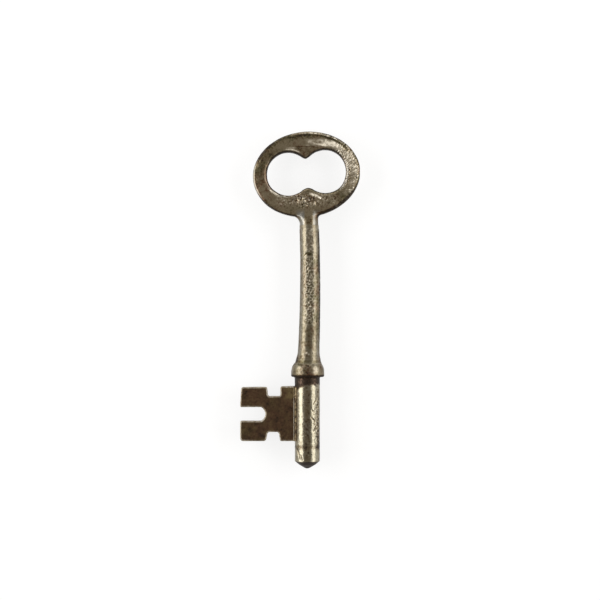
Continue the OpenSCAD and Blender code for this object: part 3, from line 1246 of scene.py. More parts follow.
    def brown(self, proud: np.ndarray, inside: np.ndarray) -> np.ndarray:
        """How brown the ring is in its hollows, with painted shade on its walls and along its edges and a
        painted sheen over its face.

        Args:
            proud: how far each point stands out.
            inside: mask of the eye's wall.

        Returns:
            The mask.
        """
        skin, rim, rough, low = self.skin, self.from_rim, self.rough_side(), self.low_part()
        x, y = skin.x, skin.y
        steep = ease((0.9 - skin.facing) / 0.3)
        # faces turned down the key and walls facing up or down, which get painted shade
        down = ease(-skin.normals[:, 1] * 1.6)
        upright = ease(np.abs(skin.normals[:, 1]) * 1.5)
        face, left = self.face(), self.arc(*self.left_arc)
        patina_and_shade = 0.33 + 0.14 * skin.noise(4.0, 11, 3) - proud * 3 + skin.hollow() * 2.0
        patina_and_shade += 0.2 * ease((-x - 6.5) / 3) * ease((y - 63.5) / 3) + 0.4 * self.groove
        patina_and_shade += low * (0.9 * skin.noise(0.5, 15, 3) - 0.08) - 0.06 * ease((64 - y) / 2)
        # the eye's wall darker, partly dirt and partly painted shade where it faces up or down; painted shade
        # on steep faces turned down the key
        patina_and_shade += inside * (0.4 + 0.25 * upright) + steep * down * (0.3 + 0.25 * face)
        # painted shade along the outer edge, left lighter on the left side as a painted highlight
        patina_and_shade += ease((0.35 - rim) / 0.2) * (0.3 - 0.5 * left) * face
        # painted shade on the eye's upper walls
        patina_and_shade += 0.75 * self.arc(*self.shaded_wall_arc) * ease((0.42 + 0.14 * (x < -1) - self.from_eye) / 0.16)
        # painted shade in a band along the left rim, part of a painted sheen across the face
        patina_and_shade += 0.4 * left * span(rim, 0.38, 0.1, 1.0, 0.3)
        # painted shade along parts of the outer rim
        for strength, arc, reach, soft in self.rim_painted_shades:
            patina_and_shade += strength * self.arc(*arc) * ease((reach - rim) / soft) * face
        # painted shade on the eye's wall along the rough side; the rough face itself is less brown
        patina_and_shade += 0.6 * rough * inside - 0.42 * rough
        # painted shade across the top of the ring
        patina_and_shade += 0.35 * bell(rim, 1.35, 0.42) * self.arc(*self.shade_arc)
        patina_and_shade += skin.patch((-0.3, 61.6), (3.0, 1.5), 0.4) * (0.22 + 0.5 * skin.noise(0.45, 14, 2))
        patina_and_shade += 0.34 * bell(y, 74.48, 0.2) * ease((2.6 - np.abs(x + 0.5)) / 0.8)
        patina_and_shade += skin.patches(*((0.7, spot, (0.2, 0.2), 0.4, 0) for spot in self.deep_pits))
        return patina_and_shade + skin.patches(*self.brown_and_shade_patches)

    def bare_and_highlight(self, proud: np.ndarray, inside: np.ndarray) -> np.ndarray:
        """How far the ring is rubbed bright on its rough side, its rim and its flecks, with painted highlights
        on its edges, top, lower cusp and glints.

        Args:
            proud: how far each point stands out.
            inside: mask of the eye's wall.

        Returns:
            The mask.
        """
        skin, rim, turn, rough = self.skin, self.from_rim, self.turn, self.rough_side()
        inner = 0.45 + 0.65 * ease((8 - turn) / 14)
        scuff_and_highlight = rough * ease((self.from_eye - inner) / 0.35) * (0.55 + 0.3 * skin.noise(1.1, 12, 2))
        scuff_and_highlight += 0.4 * rough * skin.patch((10.3, 70.2), (1.3, 2.2), 0.5, 20)
        scuff_and_highlight *= 0.15 + 1.4 * self.strokes(21) ** 1.5 + 0.2 * ease((turn - 18) / 12)
        scuff_and_highlight *= 0.85 + 0.7 * skin.noise(1.5, 22, 2)
        scuff_and_highlight *= ease((rim - 0.4) / 0.3) * (1 - 0.9 * self.groove)
        # painted highlight over the top right, dimmed in one spot
        dull = 1 - 0.6 * skin.patch((3.7, 75.55), (0.65, 0.2), 0.6)
        scuff_and_highlight += skin.patches(*self.painted_shine) * dull * (1 + skin.noise(0.7, 13, 2))
        # file strokes along the upper right rim, brightened into painted glints
        edge = ease((0.75 - rim) / 0.2) * self.arc(*self.edge_arc)
        scuff_and_highlight += edge * (0.1 + 0.75 * self.strokes(30) ** 2)
        scuff_and_highlight *= 1 - 0.8 * ease((0.35 - rim) / 0.2)
        # painted highlight along the outer left edge
        scuff_and_highlight += 0.4 * self.arc(*self.rim_highlight_arc) * bell(rim, 0.26, 0.15)
        # painted highlight along the eye's upper edge
        scuff_and_highlight += 0.9 * self.arc(*self.eye_highlight_arc) * bell(self.from_eye, 0.74, 0.15)
        # painted highlights along the lower cusp's ridge
        scuff_and_highlight += skin.patches(*self.highlight_streaks) * (1 + 0.7 * skin.noise(0.45, 18, 2))
        # painted highlight on the lower left inner bevel
        lower_left_highlight = skin.patch((-7.65, 63.4), (1.8, 0.24), 0.5, -35)
        scuff_and_highlight += 0.7 * lower_left_highlight * (1 + 0.8 * skin.noise(0.6, 19, 2))
        # painted glints on the raised bumps
        scuff_and_highlight += skin.patches(*((0.8, spot, (0.22, 0.18), 0.5, 0) for spot in self.glints))
        scuff_and_highlight += skin.patches(*((0.8, spot, (0.35, 0.14), 0.6, -12) for spot in self.rim_flecks))
        kept = (1 - inside * ease((-skin.x - 4) / 2) * 0.6) * self.above_neck()
        scuff_and_highlight += np.clip(proud * 6, 0, 0.2) * kept
        scuff_and_highlight += 0.3 * self.low_part() * np.clip(2.2 * skin.noise(0.42, 25, 2) - 0.1, 0, 1)
        # the brighter patches, mostly painted highlights near the top
        return scuff_and_highlight + skin.patches(*self.bare_patches)

    def paint(self) -> None:
        """Paints the brown of the hollows, painted shade on the walls and edges, painted highlights, and the
        bright metal of the worn places.
        """
        skin = self.skin
        x, y = skin.x, skin.y
        rim, eye = self.from_rim, self.from_eye
        proud = np.clip(skin.proud(), -0.03, 0.03)
        inside = ease((1.0 - eye) / 0.3) * ease((0.9 - skin.facing) / 0.3)
        off_axis = np.abs(x - 0.3)
        neck_flank = ease((60.0 - y) / 1.6) * span(off_axis, 0.8, 0.4, 3.3, 0.9)
        # painted highlights along both flanks of the neck
        neck_highlight = (bell(x, -0.7, 0.4) + bell(x, 1.7, 0.4)) * ease((57.8 - y) / 1.2)
        patina_and_shade = self.brown(proud, inside) - (0.3 + 0.12 * (x < 0)) * neck_flank - 0.12 * neck_highlight
        scuff_and_highlight = self.bare_and_highlight(proud, inside) + 0.14 * neck_highlight - skin.pressed * 3
        scuff_and_highlight *= 0.4 + 0.6 * ease(skin.normals[:, 2] * 2)
        warm = 0.35 + skin.patches(*self.red_patches) + 0.25 * self.low_part()
        warm -= 0.5 * bell(rim, 1.2, 0.6) * self.arc(*self.olive_arc)
        far_left = self.arc(*self.far_left_arc)
        clean = 0.9 * neck_flank + 0.8 * far_left * (ease((0.6 - rim) / 0.25) + ease((0.75 - eye) / 0.25))
        # greyer along the right rim, with its painted shade
        clean += 0.8 * self.arc(*self.right_arc) * self.face() * ease((0.6 - rim) / 0.2)
        clean += 0.8 * self.rough_side() * ease((0.8 - eye) / 0.25)
        skin.dress(patina_and_shade, scuff_and_highlight, warm, np.clip(clean, 0, 1))


@dataclass
class Stem(Piece):
    """The round shank between the collar and the bow, bent and scarred along its front."""

    name: str = "worn_stem"
    node: str = "stem"
    slot: Slot = Slot.SHANK
    finish: OldMetal = SHANK_METAL
    seed: int = 5
    uneven: tuple[Spot, ...] = ((4.0, 0.08), (1.3, 0.045), (0.5, 0.03))
    sides: int = 132
    step: float = 0.15
    foot: float = 0.4
    growth: float = 0.05
    scar_low: float = 32.6
    scar_high: float = 48.3
    nick: Groove = ((-1.1, 48.5), (0.0, 49.35), 0.45, 0.08)
    dents: tuple[tuple[float, float, float, float], ...] = (
        (0.25, 49.15, 0.65, 0.09),
        (0.8, 48.95, 0.5, 0.08),
        (-0.2, 32.9, 0.5, 0.05),
        (0.45, 32.75, 0.55, 0.06),
        (-0.1, 25.75, 0.3, -0.05),
        (0.35, 25.4, 0.25, -0.05),
    )
    # painted shade at the foot where the stem meets the collar; browner marks at the nick and the lower scar
    brown_and_shade_patches: tuple[Patch, ...] = (
        (0.65, (-1.9, 24.0), (1.0, 0.9), 0.8, 0),
        (0.45, (2.35, 23.7), (0.8, 0.9), 0.7, 0),
        (0.6, (0.4, 49.1), (0.7, 0.35), 0.6, 0),
        (0.3, (-0.6, 48.9), (0.6, 0.16), 0.8, 38),
        (0.3, (0.2, 32.85), (0.8, 0.35), 0.6, 0),
    )
    bare_patches: tuple[Patch, ...] = (
        (0.7, (-0.1, 25.75), (0.25, 0.25), 0.6, 0),
        (0.5, (0.35, 25.4), (0.2, 0.2), 0.6, 0),
    )

    def form(self) -> Skin:
        """Turns the tapering shank and bends it.

        Returns:
            Its skin.
        """
        rows = np.linspace(PLAN.stem_y, PLAN.stem_top_y, 60)
        outline = [(PLAN.stem_r(y), float(y)) for y in rows]
        sunk = PLAN.stem_y - self.foot
        ends = [(0.0, sunk), (outline[0][0] + self.foot / 2, sunk), *outline, (0.0, PLAN.stem_top_y)]
        skin = Skin(lathe("stem_skin", ends, self.sides, self.step), self.seed)
        skin.points[:, 0] += PLAN.bend_x(skin.y)
        skin.read_normals()
        return skin

    def scars(self) -> np.ndarray:
        """Finds the scarred stretch of the front.

        Returns:
            Its mask.
        """
        skin = self.skin
        front = bell(skin.x - PLAN.bend_x(skin.y), -0.2, 1.35) * (skin.z > 0)
        return skin.band(self.scar_low, self.scar_high, 2.5) * front

    def sculpt(self) -> None:
        """Makes the shank uneven and presses its scars and its nick."""
        skin = self.skin
        skin.wobble(*self.uneven)
        skin.read_normals()
        body = skin.band(PLAN.stem_y + 0.5, PLAN.stem_top_y - 0.3, 0.3)
        ends = 0.05 * skin.band(24.2, 27.0, 1.0) + 0.04 * skin.band(49.5, 55.0, 1.0)
        skin.press(-self.growth * body - ends)
        skin.press(-0.05 * ease((25.2 - skin.y) / 1.6))
        scars = self.scars()
        skin.press(0.042 * scars * np.clip(skin.noise(0.45, 4, 3) * 1.4, -0.6, 1))
        skin.pits(skin.some_points(scars, 90), (0.15, 0.32), (0.03, 0.06))
        skin.press(0.03 * body * skin.dimples(0.8, 6))
        skin.pits(skin.some_points(body, 110), (0.15, 0.34), (0.02, 0.05))
        skin.scratch(*self.nick)
        for x, y, radius, depth in self.dents:
            skin.dent((x, y, PLAN.stem_r(y)), radius, depth)
        skin.keep_inside("stem", "collar")

    def paint(self) -> None:
        """Paints the brown of the hollows and the scars, with painted shade at the crease and along the sides
        and a painted dark reflection down the lower middle.
        """
        skin = self.skin
        scars, proud, height = self.scars(), skin.proud(), skin.y
        side = skin.x - PLAN.bend_x(height)
        out = np.abs(side) / PLAN.stem_r(height)
        centre = skin.band(49.6, 55.2, 0.5) * np.exp(-((side / 0.9) ** 4))
        patina_and_shade = 0.16 + 0.16 * skin.noise(2.6, 11, 3) + skin.hollow() * 3.2 - proud * 7
        patina_and_shade += scars * (0.26 + 0.5 * skin.noise(0.5, 14, 3))
        # browner and mottled in the middle stretch, darker on the right as painted shade over its highlight
        patina_and_shade += skin.band(27, 49, 3) * (0.07 + 0.1 * ease(side) + 0.18 * skin.noise(0.9, 15, 2))
        # painted shade towards both sides of the stem
        patina_and_shade += 0.42 * ease((out - 0.8) / 0.12)
        # painted shade on the upper sides, stronger on the right
        patina_and_shade += (0.14 + 0.45 * ease(side)) * skin.band(45, 54.8, 2) * ease((out - 0.72) / 0.15)
        # painted shade over the right side's highlight in the middle stretch
        patina_and_shade += 0.3 * ease((side - 1.2) / 0.4) * span(height, 27, 4, 51, 4)
        # a painted dark reflection down the middle near the foot
        patina_and_shade += 0.35 * bell(side, 0, 0.85) * ease((33 - height) / 1.5)
        patina_and_shade += centre * (0.6 * skin.noise(0.4, 17, 2) - 0.02)
        patina_and_shade += skin.patches(*self.brown_and_shade_patches)
        scuff_and_highlight = 0.65 * scars * np.clip(proud * 40, 0, 1) + np.clip(proud * 8, 0, 0.4)
        scuff_and_highlight += skin.patches(*self.bare_patches)
        scuff_and_highlight += 0.5 * centre * np.clip(2 * skin.noise(0.35, 18, 2), 0, 1)
        # the sides are also greyer, with the painted shade there
        skin.dress(patina_and_shade, scuff_and_highlight, 0.25 + 0.4 * centre, 0.6 * ease((out - 0.7) / 0.15))


@dataclass
class Collar(Piece):
    """The raised ring at the top of the pin, with a profile of radii and rises."""

    name: str = "worn_collar"
    node: str = "collar"
    slot: Slot = Slot.SHANK
    finish: OldMetal = SHANK_METAL
    seed: int = 7
    uneven: tuple[Spot, ...] = ((2.4, 0.05), (0.8, 0.04))
    bore_r: float = 2.25
    profile: tuple[Spot, ...] = (
        (3.7, 0.0),
        (3.84, 0.04),
        (3.92, 0.13),
        (3.95, 0.3),
        (3.94, 0.9),
        (3.9, 1.5),
        (3.85, 1.95),
        (3.74, 2.3),
        (3.54, 2.75),
        (3.3, 3.1),
        (3.02, PLAN.collar_len),
    )
    sides: int = 200
    step: float = 0.15

    def form(self) -> Skin:
        """Turns the ring and shifts it to its place.

        Returns:
            Its skin.
        """
        low, high = PLAN.pin_len, PLAN.stem_y
        outside = [(r, low + rise) for r, rise in self.profile]
        outline = [(self.bore_r, low), *outside, (self.bore_r, high)]
        skin = Skin(lathe("collar_skin", outline, self.sides, self.step), self.seed)
        skin.points[:, 0] += PLAN.collar_shift
        skin.read_normals()
        return skin

    def sculpt(self) -> None:
        """Wears the ring down a little more on its two sides and presses its pits."""
        skin = self.skin
        skin.smooth(2)
        skin.wobble(*self.uneven)
        outside = (np.hypot(skin.x, skin.z) > 3.0) * 1.0
        skin.press(-0.05 * outside * np.abs(skin.x) / 3.95)
        skin.press(0.04 * outside * skin.dimples(0.8, 3))
        skin.pits(skin.some_points(outside, 60), (0.2, 0.4), (0.03, 0.07))
        skin.keep_inside("collar")

    def paint(self) -> None:
        """Paints shade along the lower edge, the sides and the crease, a dark reflection down the middle, and
        a highlight on the right.
        """
        skin = self.skin
        low, high = PLAN.pin_len, PLAN.stem_y
        x, y, proud = skin.x - PLAN.collar_shift, skin.y, skin.proud()
        middle = bell(x, 0, 1.0)
        patina_and_shade = 0.3 + 0.25 * skin.noise(1.6, 11, 3) + skin.hollow() * 3 - proud * 6
        # painted shade along the lower edge, and a painted dark reflection down the middle
        patina_and_shade += 1.1 * ease((low + 0.62 - y) / 0.25) + 0.5 * middle
        # painted shade towards both sides
        patina_and_shade += 0.3 * ease((-x - 2.6) / 0.5) + 0.25 * ease((x - 2.7) / 0.4)
        # painted shade at the crease where the stem meets the collar
        for place, reach in ((-2.0, (1.1, 0.5)), (2.4, (0.8, 0.6))):
            patina_and_shade += 0.35 * skin.patch((place, high - 0.2), reach, 0.8)
        scuff_and_highlight = np.clip(proud * 10, 0, 0.5) * ease((y - low - 0.6) / 0.3)
        # painted highlight on the right
        scuff_and_highlight += 0.3 * skin.patch((2.0, low + 1.75), (0.55, 0.8), 0.4)
        # the middle is also redder, with its painted dark reflection
        skin.dress(patina_and_shade, scuff_and_highlight, 0.25 + 0.3 * middle)


@dataclass
class Pin(Piece):
    """The round end with the pointed nose, worn bright and scratched."""

    name: str = "bright_pin"
    node: str = "pin"
    slot: Slot = Slot.SHANK
    finish: OldMetal = PIN_METAL
    seed: int = 9
    uneven: tuple[Spot, ...] = ((4.5, 0.07), (1.2, 0.035), (0.5, 0.02))
    nose_half: float = 54.0
    nose_round: float = 1.5
    nose_bulge: float = 0.12
    wear_room: float = 0.04
    worn_ring: float = 3.4
    knobs: tuple[Spot, ...] = ((-0.35, 6.3), (0.05, 4.5), (0.2, 1.6))
    sides: int = 160
    step: float = 0.15
    strokes: tuple[tuple[Spot, Spot], ...] = (
        ((0.8, 10.6), (1.9, 9.7)),
        ((2.5, 9.1), (1.5, 7.4)),
        ((1.9, 7.6), (2.4, 8.1)),
        ((1.0, 12.3), (1.5, 11.8)),
        ((1.6, 18.35), (2.5, 17.7)),
        ((-2.45, 3.2), (-1.55, 0.3)),
        ((-1.6, 1.7), (-1.1, 0.3)),
        ((1.4, 13.4), (2.1, 14.6)),
    )

    def form(self) -> Skin:
        """Turns the pin with its rounded nose.

        Returns:
            Its skin.
        """
        half = math.radians(self.nose_half)
        nose_len = PLAN.pin_r / math.tan(half) - self.nose_round * (1 / math.sin(half) - 1)
        turns = np.linspace(0, math.pi / 2 - half, 9)
        tip = self.nose_round
        nose = [(tip * math.sin(t), tip * (1 - math.cos(t)) - nose_len) for t in turns]
        r = PLAN.pin_r + self.wear_room
        bulge = (self.nose_bulge * math.cos(half), -self.nose_bulge * math.sin(half))
        flank = ((nose[-1][0] + r) / 2 + bulge[0], nose[-1][1] / 2 + bulge[1])
        wall = [flank, (r, 0.0), (r, PLAN.bit_start), (PLAN.pin_top_r, PLAN.pin_len)]
        outline = [*nose, *wall, (PLAN.pin_top_r, PLAN.pin_end), (0.0, PLAN.pin_end)]
        return Skin(lathe("pin_skin", outline, self.sides, self.step), self.seed)

    def sculpt(self) -> None:
        """Rounds the nose's edge and presses the dents, pits and scratches."""
        skin = self.skin
        skin.smooth(1, skin.band(-0.4, 0.4, 0.4))
        skin.wobble(*self.uneven)
        skin.read_normals()
        for start, stop in self.strokes:
            skin.scratch(start, stop, 0.42, 0.13)
        worn = self.scratched()
        skin.press(0.1 * worn * np.clip(skin.noise(0.55, 4, 2) * 1.5, 0, 1))
        skin.press(0.05 * worn * skin.dimples(0.6, 5))
        skin.pits(skin.some_points(worn, 70), (0.15, 0.3), (0.04, 0.1))
        skin.press(0.06 * bell(skin.y, self.worn_ring, 0.5) * (skin.z > 0))
        body = skin.band(0.3, 19.0, 0.2)
        skin.press(0.02 * body * skin.dimples(0.9, 6))
        skin.pits(skin.some_points(body, 90), (0.16, 0.34), (0.02, 0.05))
        for spot in self.knobs:
            skin.dent((*spot, PLAN.pin_r), 0.35, -0.04)
        skin.keep_inside("pin")

    def scratched(self) -> np.ndarray:
        """Mask of the rough, scratched stretch of the front's right side."""
        return self.skin.patch((2.25, 10.4), (0.75, 5.6), 0.5, -2) * ease((self.skin.z - 0.5) / 1.2)

    def paint(self) -> None:
        """Paints the brown under the collar, beside the bit and in the hollows, with painted shade over the
        nose, a painted dark reflection down the middle and painted highlight stripes under the collar.
        """
        skin = self.skin
        x, y, z = skin.points.T
        proud = skin.proud()
        patina_and_shade = 0.05 + 0.14 * skin.noise(2.4, 11, 3) + skin.hollow() * 3.2 - proud * 5
        patina_and_shade += 0.3 * ease((-x - 1.95) / 0.3) + 0.3 * ease((x - 2.2) / 0.3)
        patina_and_shade += 0.6 * ease((x - 1.9) / 0.3) * np.clip(2 * skin.noise(0.6, 16, 2) - 0.15, 0, 1)
        # a painted warm dark reflection down the middle
        patina_and_shade += (0.58 + 0.3 * skin.noise(0.7, 15, 2)) * np.exp(-((x / 0.85) ** 4))
        patina_and_shade += 0.12 * self.scratched() + 0.25 * bell(y, self.worn_ring, 0.5)
        patina_and_shade += 0.6 * skin.patch((2.75, 4.4), (0.5, 1.5), 0.9) * ease((z + 0.2) / 1.0)
        # painted shade over the nose, which turns away down the key
        patina_and_shade += 0.75 * skin.patch((0.15, -0.95), (1.75, 0.85), 0.4) + 0.95 * ease((0.12 - y) / 0.22)
        edge = 18.3 + 0.45 * np.minimum(x, 0) + 0.5 * skin.noise(0.9, 13)
        stained = ease((y - edge) / 0.5 + 0.5)
        # painted highlights: lighter stripes under the collar where the lamps' highlights run
        highlight_streaks = bell(x, -1.3, 0.35) + bell(x, 1.8, 0.4)
        patina_and_shade += stained * (0.97 - 0.12 * highlight_streaks + 0.3 * ease((np.abs(x) - 2.1) / 0.4) - patina_and_shade)
        scuff_and_highlight = np.clip(proud * 8, 0, 0.4) * (y > 0.1) * (1 - 0.7 * stained)
        skin.dress(patina_and_shade, scuff_and_highlight, 0.25 + 0.75 * ease((y - 17) / 1.5))


@dataclass
class Bit(Piece):
    """The flat flag that turns the lock, with its mouth and two ward notches."""

    name: str = "dark_bit"
    node: str = "bit"
    slot: Slot = Slot.BIT
    finish: OldMetal = BIT_METAL
    seed: int = 11
    uneven: tuple[Spot, ...] = ((3.0, 0.08), (0.9, 0.045), (0.5, 0.02))
    bit_reach: float = 12.9
    lower_arm_h: float = 4.75
    mouth_h: float = 3.3
    mouth_depth: float = 6.0
    mouth_bulge: float = 0.95
    root_w: float = 3.5
    notch_w: float = 3.0
    notch_depth: float = 2.35
    upper_drop: float = 0.2
    edge_bevel: float = 0.2
    root_x: float = -2.7
    voxel: float = 0.1
    edge_wear: np.ndarray = field(init=False)

    def outline(self) -> list[tuple[float, float, float]]:
        """Places the plate's corners.

        Returns:
            Each corner's place and radius, clockwise from the upper end of its root.
        """
        free_x = -PLAN.pin_r - self.bit_reach
        low, high = PLAN.bit_start, PLAN.bit_start + PLAN.bit_h
        near, far = -PLAN.pin_r - self.root_w, -PLAN.pin_r - self.root_w - self.notch_w
        mouth_low, mouth_high = low + self.lower_arm_h, low + self.lower_arm_h + self.mouth_h
        end_x = free_x + self.mouth_depth - self.mouth_bulge
        middle = (mouth_low + mouth_high) / 2
        arc = [
            (end_x + self.mouth_bulge * (1 - t * t), middle + self.mouth_h / 2 * float(t), 0.0)
            for t in np.linspace(0.75, -0.75, 7)
        ]
        return [
            (self.root_x, high, 0.0),
            (near + 0.1, high - 0.05, 0.5),
            (near + 0.12, high - self.notch_depth - 0.05, 0.3),
            (far + 0.2, high - self.notch_depth - 0.03, 0.4),
            (far - 0.02, high - self.upper_drop, 0.3),
            (free_x + 0.25, high - self.upper_drop - 0.05, 0.4),
            (free_x, mouth_high, 0.3),
            (end_x, mouth_high, 0.25),
            *arc,
            (end_x, mouth_low, 0.25),
            (free_x, mouth_low, 0.3),
            (free_x, low, 0.65),
            (far - 0.3, low, 0.6),
            (far + 0.06, low + self.notch_depth - 0.22, 0.5),
            (near - 0.25, low + self.notch_depth - 0.2, 0.55),
            (near + 0.08, low, 0.3),
            (self.root_x, low, 0.0),
        ]

    def form(self) -> Skin:
        """Draws the plate out of its outline and rounds its corners.

        Returns:
            Its skin.
        """
        bm = drawn_out([(x, y, -PLAN.bit_t / 2) for x, y, _ in self.outline()], (0, 0, PLAN.bit_t))
        bmesh.ops.recalc_face_normals(bm, faces=bm.faces)
        for radius in sorted({r for _, _, r in self.outline()} - {0.0}):
            spots = [Vector((x, y)) for x, y, r in self.outline() if r == radius]
            upright = [e for e in bm.edges if (e.verts[0].co.xy - e.verts[1].co.xy).length < TINY]
            corners = [e for e in upright if any((e.verts[0].co.xy - spot).length < TINY for spot in spots)]
            rounded(bm, corners, radius, 4)
        rims = [e for e in bm.edges if abs(e.verts[0].co.z - e.verts[1].co.z) < TINY]
        rounded(bm, rims, self.edge_bevel, 3)
        skin = Skin(remeshed([bm], "bit_skin", self.voxel), self.seed)
        skin.press(-0.08 * (1 - skin.facing))
        return skin

    def sculpt(self) -> None:
        """Softens the plate's edges and presses its dents and pits."""
        skin = self.skin
        skin.smooth(3)
        self.edge_wear = skin.spread(skin.ridges(10), 1)
        skin.wobble(*self.uneven)
        skin.read_normals()
        flat = (skin.facing > 0.8) * 1.0
        skin.press(0.025 * flat * skin.dimples(0.7, 4))
        skin.pits(skin.some_points(flat, 90), (0.18, 0.42), (0.02, 0.05))
        skin.pits(skin.some_points(1 - flat, 80), (0.25, 0.5), (0.03, 0.1))
        skin.keep_inside("bit")

    def paint(self) -> None:
        """Paints the dark plate, its worn edges, the filler's golden stain and painted shade on the faces
        turned down the key.
        """
        skin = self.skin
        down = ease(-skin.normals[:, 1] * 1.6)
        worn = 0.25 + 0.75 * ease((skin.facing - 0.1) / 0.4)
        worn *= 0.75 + 0.9 * skin.noise(1.3, 14, 2)
        # painted shade on the faces turned down the key
        patina_and_shade = 0.74 + 0.1 * skin.noise(2.2, 11, 3) + 0.2 * down
        patina_and_shade -= np.clip(self.edge_wear * 34, 0, 0.8) * worn
        gold = skin.patch((-3.9, 16.1), (1.4, 1.5), 0.9) * (1 + 1.1 * skin.noise(0.9, 13, 2))
        patina_and_shade += np.clip(skin.pressed, -0.05, 0.1) - 0.6 * gold
        # edges turned down the key kept darker, with the painted shade
        scuff_and_highlight = np.clip(self.edge_wear * 55 - 0.1, 0, 0.85) * (1 - 0.6 * down) * worn
        warm = 0.65 + 0.5 * skin.noise(3.0, 12) - 0.4 * gold
        skin.dress(patina_and_shade, scuff_and_highlight, warm)


@dataclass
class Filler:
    """The filler metal along the bit's root, under the collar and at the neck."""

    root_fillet: float = 0.85
    root_seed: int = 13
    gold_low: float = 14.9
    gold_high: float = 17.4
    ring_w: float = 0.14
    ring_h: float = 0.35
    ring_sides: int = 160
    ring_seed: int = 17
    sleeve_half: float = 0.5
    sleeve_bore: float = 1.6
    sleeve_sides: int = 132
    sleeve_seed: int = 19
    step: float = 0.15

    def root_strip(self, side: int) -> None:
        """Builds the strip of filler beside the bit.

        Args:
            side: 1 on the front and -1 on the back.
        """
        face_z = PLAN.bit_t / 2
        centre_z = face_z + self.root_fillet
        centre_x = -math.sqrt((PLAN.pin_r + self.root_fillet) ** 2 - centre_z**2)
        turn = math.atan2(-centre_x, centre_z)
        hollow = [
            (centre_x + self.root_fillet * math.sin(a), centre_z - self.root_fillet * math.cos(a))
            for a in np.linspace(0, turn, 9)
        ]
        inside = [(hollow[-1][0] + 0.25, hollow[-1][1] - 0.3), (centre_x + 0.3, face_z - 0.2)]
        inside.append((centre_x, face_z - 0.12))
        low, high = PLAN.bit_start - 0.1, PLAN.bit_start + PLAN.bit_h
        bm = drawn_out([(x, low, side * z) for x, z in hollow + inside], (0, high - low, 0))
        runs = [e for e in bm.edges if abs(e.verts[0].co.y - e.verts[1].co.y) > 1]
        bmesh.ops.subdivide_edges(bm, edges=runs, cuts=round((high - low) / self.step))
        bmesh.ops.recalc_face_normals(bm, faces=bm.faces)
        skin = Skin(finished(bm, "root_filler_skin"), self.root_seed + side)
        outside = np.hypot(skin.x, skin.z) > PLAN.pin_r
        skin.press(-0.06 * outside * skin.noise(0.9, 1, 2))
        skin.keep_inside("bit_braze")
        gold = skin.band(self.gold_low, self.gold_high, 1.4)
        off_edge = skin.x - centre_x
        patina_and_shade = 0.75 - 0.5 * gold + 0.2 * skin.noise(1.2, 11, 3) + 0.3 * (skin.y > self.gold_high)
        patina_and_shade += ease((off_edge - 0.1) / 0.1) * (0.08 + 0.1 * gold)
        # painted highlight along the fillet's outer edge
        scuff_and_highlight = bell(off_edge, 0.02, 0.08) * skin.band(3.3, self.gold_low, 0.6)
        scuff_and_highlight *= 1.1 + 0.7 * skin.noise(0.8, 12, 2)
        skin.dress(patina_and_shade, scuff_and_highlight, 0.35)
        name = "root_filler_front" if side > 0 else "root_filler_back"
        show(skin, name, Slot.FILLER, FILLER_METAL, *(["bit_braze"] if side > 0 else []))

    def collar_ring(self) -> None:
        """Builds the small ring of filler under the collar."""
        top_r, low, high = PLAN.pin_top_r, PLAN.pin_len - self.ring_h, PLAN.pin_end
        outline = [
            (top_r - 0.15, low - 0.1),
            (top_r + 0.01, low + 0.05),
            (top_r + 0.04, PLAN.pin_len - 0.12),
            (top_r + self.ring_w, PLAN.pin_len),
            (top_r + self.ring_w, high),
            (top_r - 0.15, high),
        ]
        skin = Skin(lathe("collar_filler_skin", outline, self.ring_sides, self.step), self.ring_seed)
        skin.smooth(2)
        skin.wobble((0.8, 0.05))
        skin.keep_inside("collar_braze")
        # near-black all over: the dark joint, and painted shade under the collar's edge
        skin.dress(1.0 + 0.2 * skin.noise(1.0, 11, 3), 0.0, 1.0)
        show(skin, "collar_filler", Slot.FILLER, FILLER_METAL, "collar_braze")

    def neck_sleeve(self) -> None:
        """Builds the thin run of filler over the seam between stem and neck."""
        middle = (PLAN.stem_top_y + PLAN.neck_y) / 2
        half, bore = self.sleeve_half, self.sleeve_bore
        outline = [
            (PLAN.stem_top_d / 2 - 0.05 + 0.05 * (1 - t * t), middle + half * float(t))
            for t in np.linspace(-1, 1, 11)
        ]
        outline += [(bore, middle + half), (bore, middle - half)]
        skin = Skin(lathe("neck_filler_skin", outline, self.sleeve_sides, self.step), self.sleeve_seed)
        skin.points[:, 0] += PLAN.bend_x(skin.y)
        skin.read_normals()
        skin.wobble((1.2, 0.03), seed=2)
        skin.read_normals()
        skin.dress(0.16 + 0.15 * skin.noise(1.0, 11, 3), 0.06)
        show(skin, "neck_filler", Slot.FILLER, SHANK_METAL, "neck_braze")

    def build(self) -> None:
        """Builds and dresses all the filler metal."""
        self.root_strip(1)
        self.root_strip(-1)
        self.collar_ring()
        self.neck_sleeve()


@dataclass(frozen=True)
class Softbox:
    """A plain rectangular lamp that faces the key."""

    name: str
    bearing: float
    tilt: float
    wide: float
    tall: float
    strength: float
    distance: float = 0.42

    def add(self, target: Vector) -> None:
        """Adds the lamp.

        Args:
            target: the point that it faces.
        """
        bearing, tilt = math.radians(self.bearing), math.radians(self.tilt)
        flat = math.sin(tilt)
        away = Vector((math.cos(bearing) * flat, math.sin(bearing) * flat, math.cos(tilt)))
        data = bpy.data.lights.new(self.name, "AREA")
        data.shape = "RECTANGLE"
        data.size = self.wide
        data.size_y = self.tall
        data.energy = self.strength * math.pi * self.wide * self.tall
        lamp = placed(self.name, data)
        across = Vector((0, 0, 1)).cross(away).normalized()
        up = away.cross(across)
        facing = Matrix((across, up, away)).transposed().to_4x4()
        lamp.matrix_world = Matrix.Translation(target + away * self.distance) @ facing
        lamp.visible_camera = False


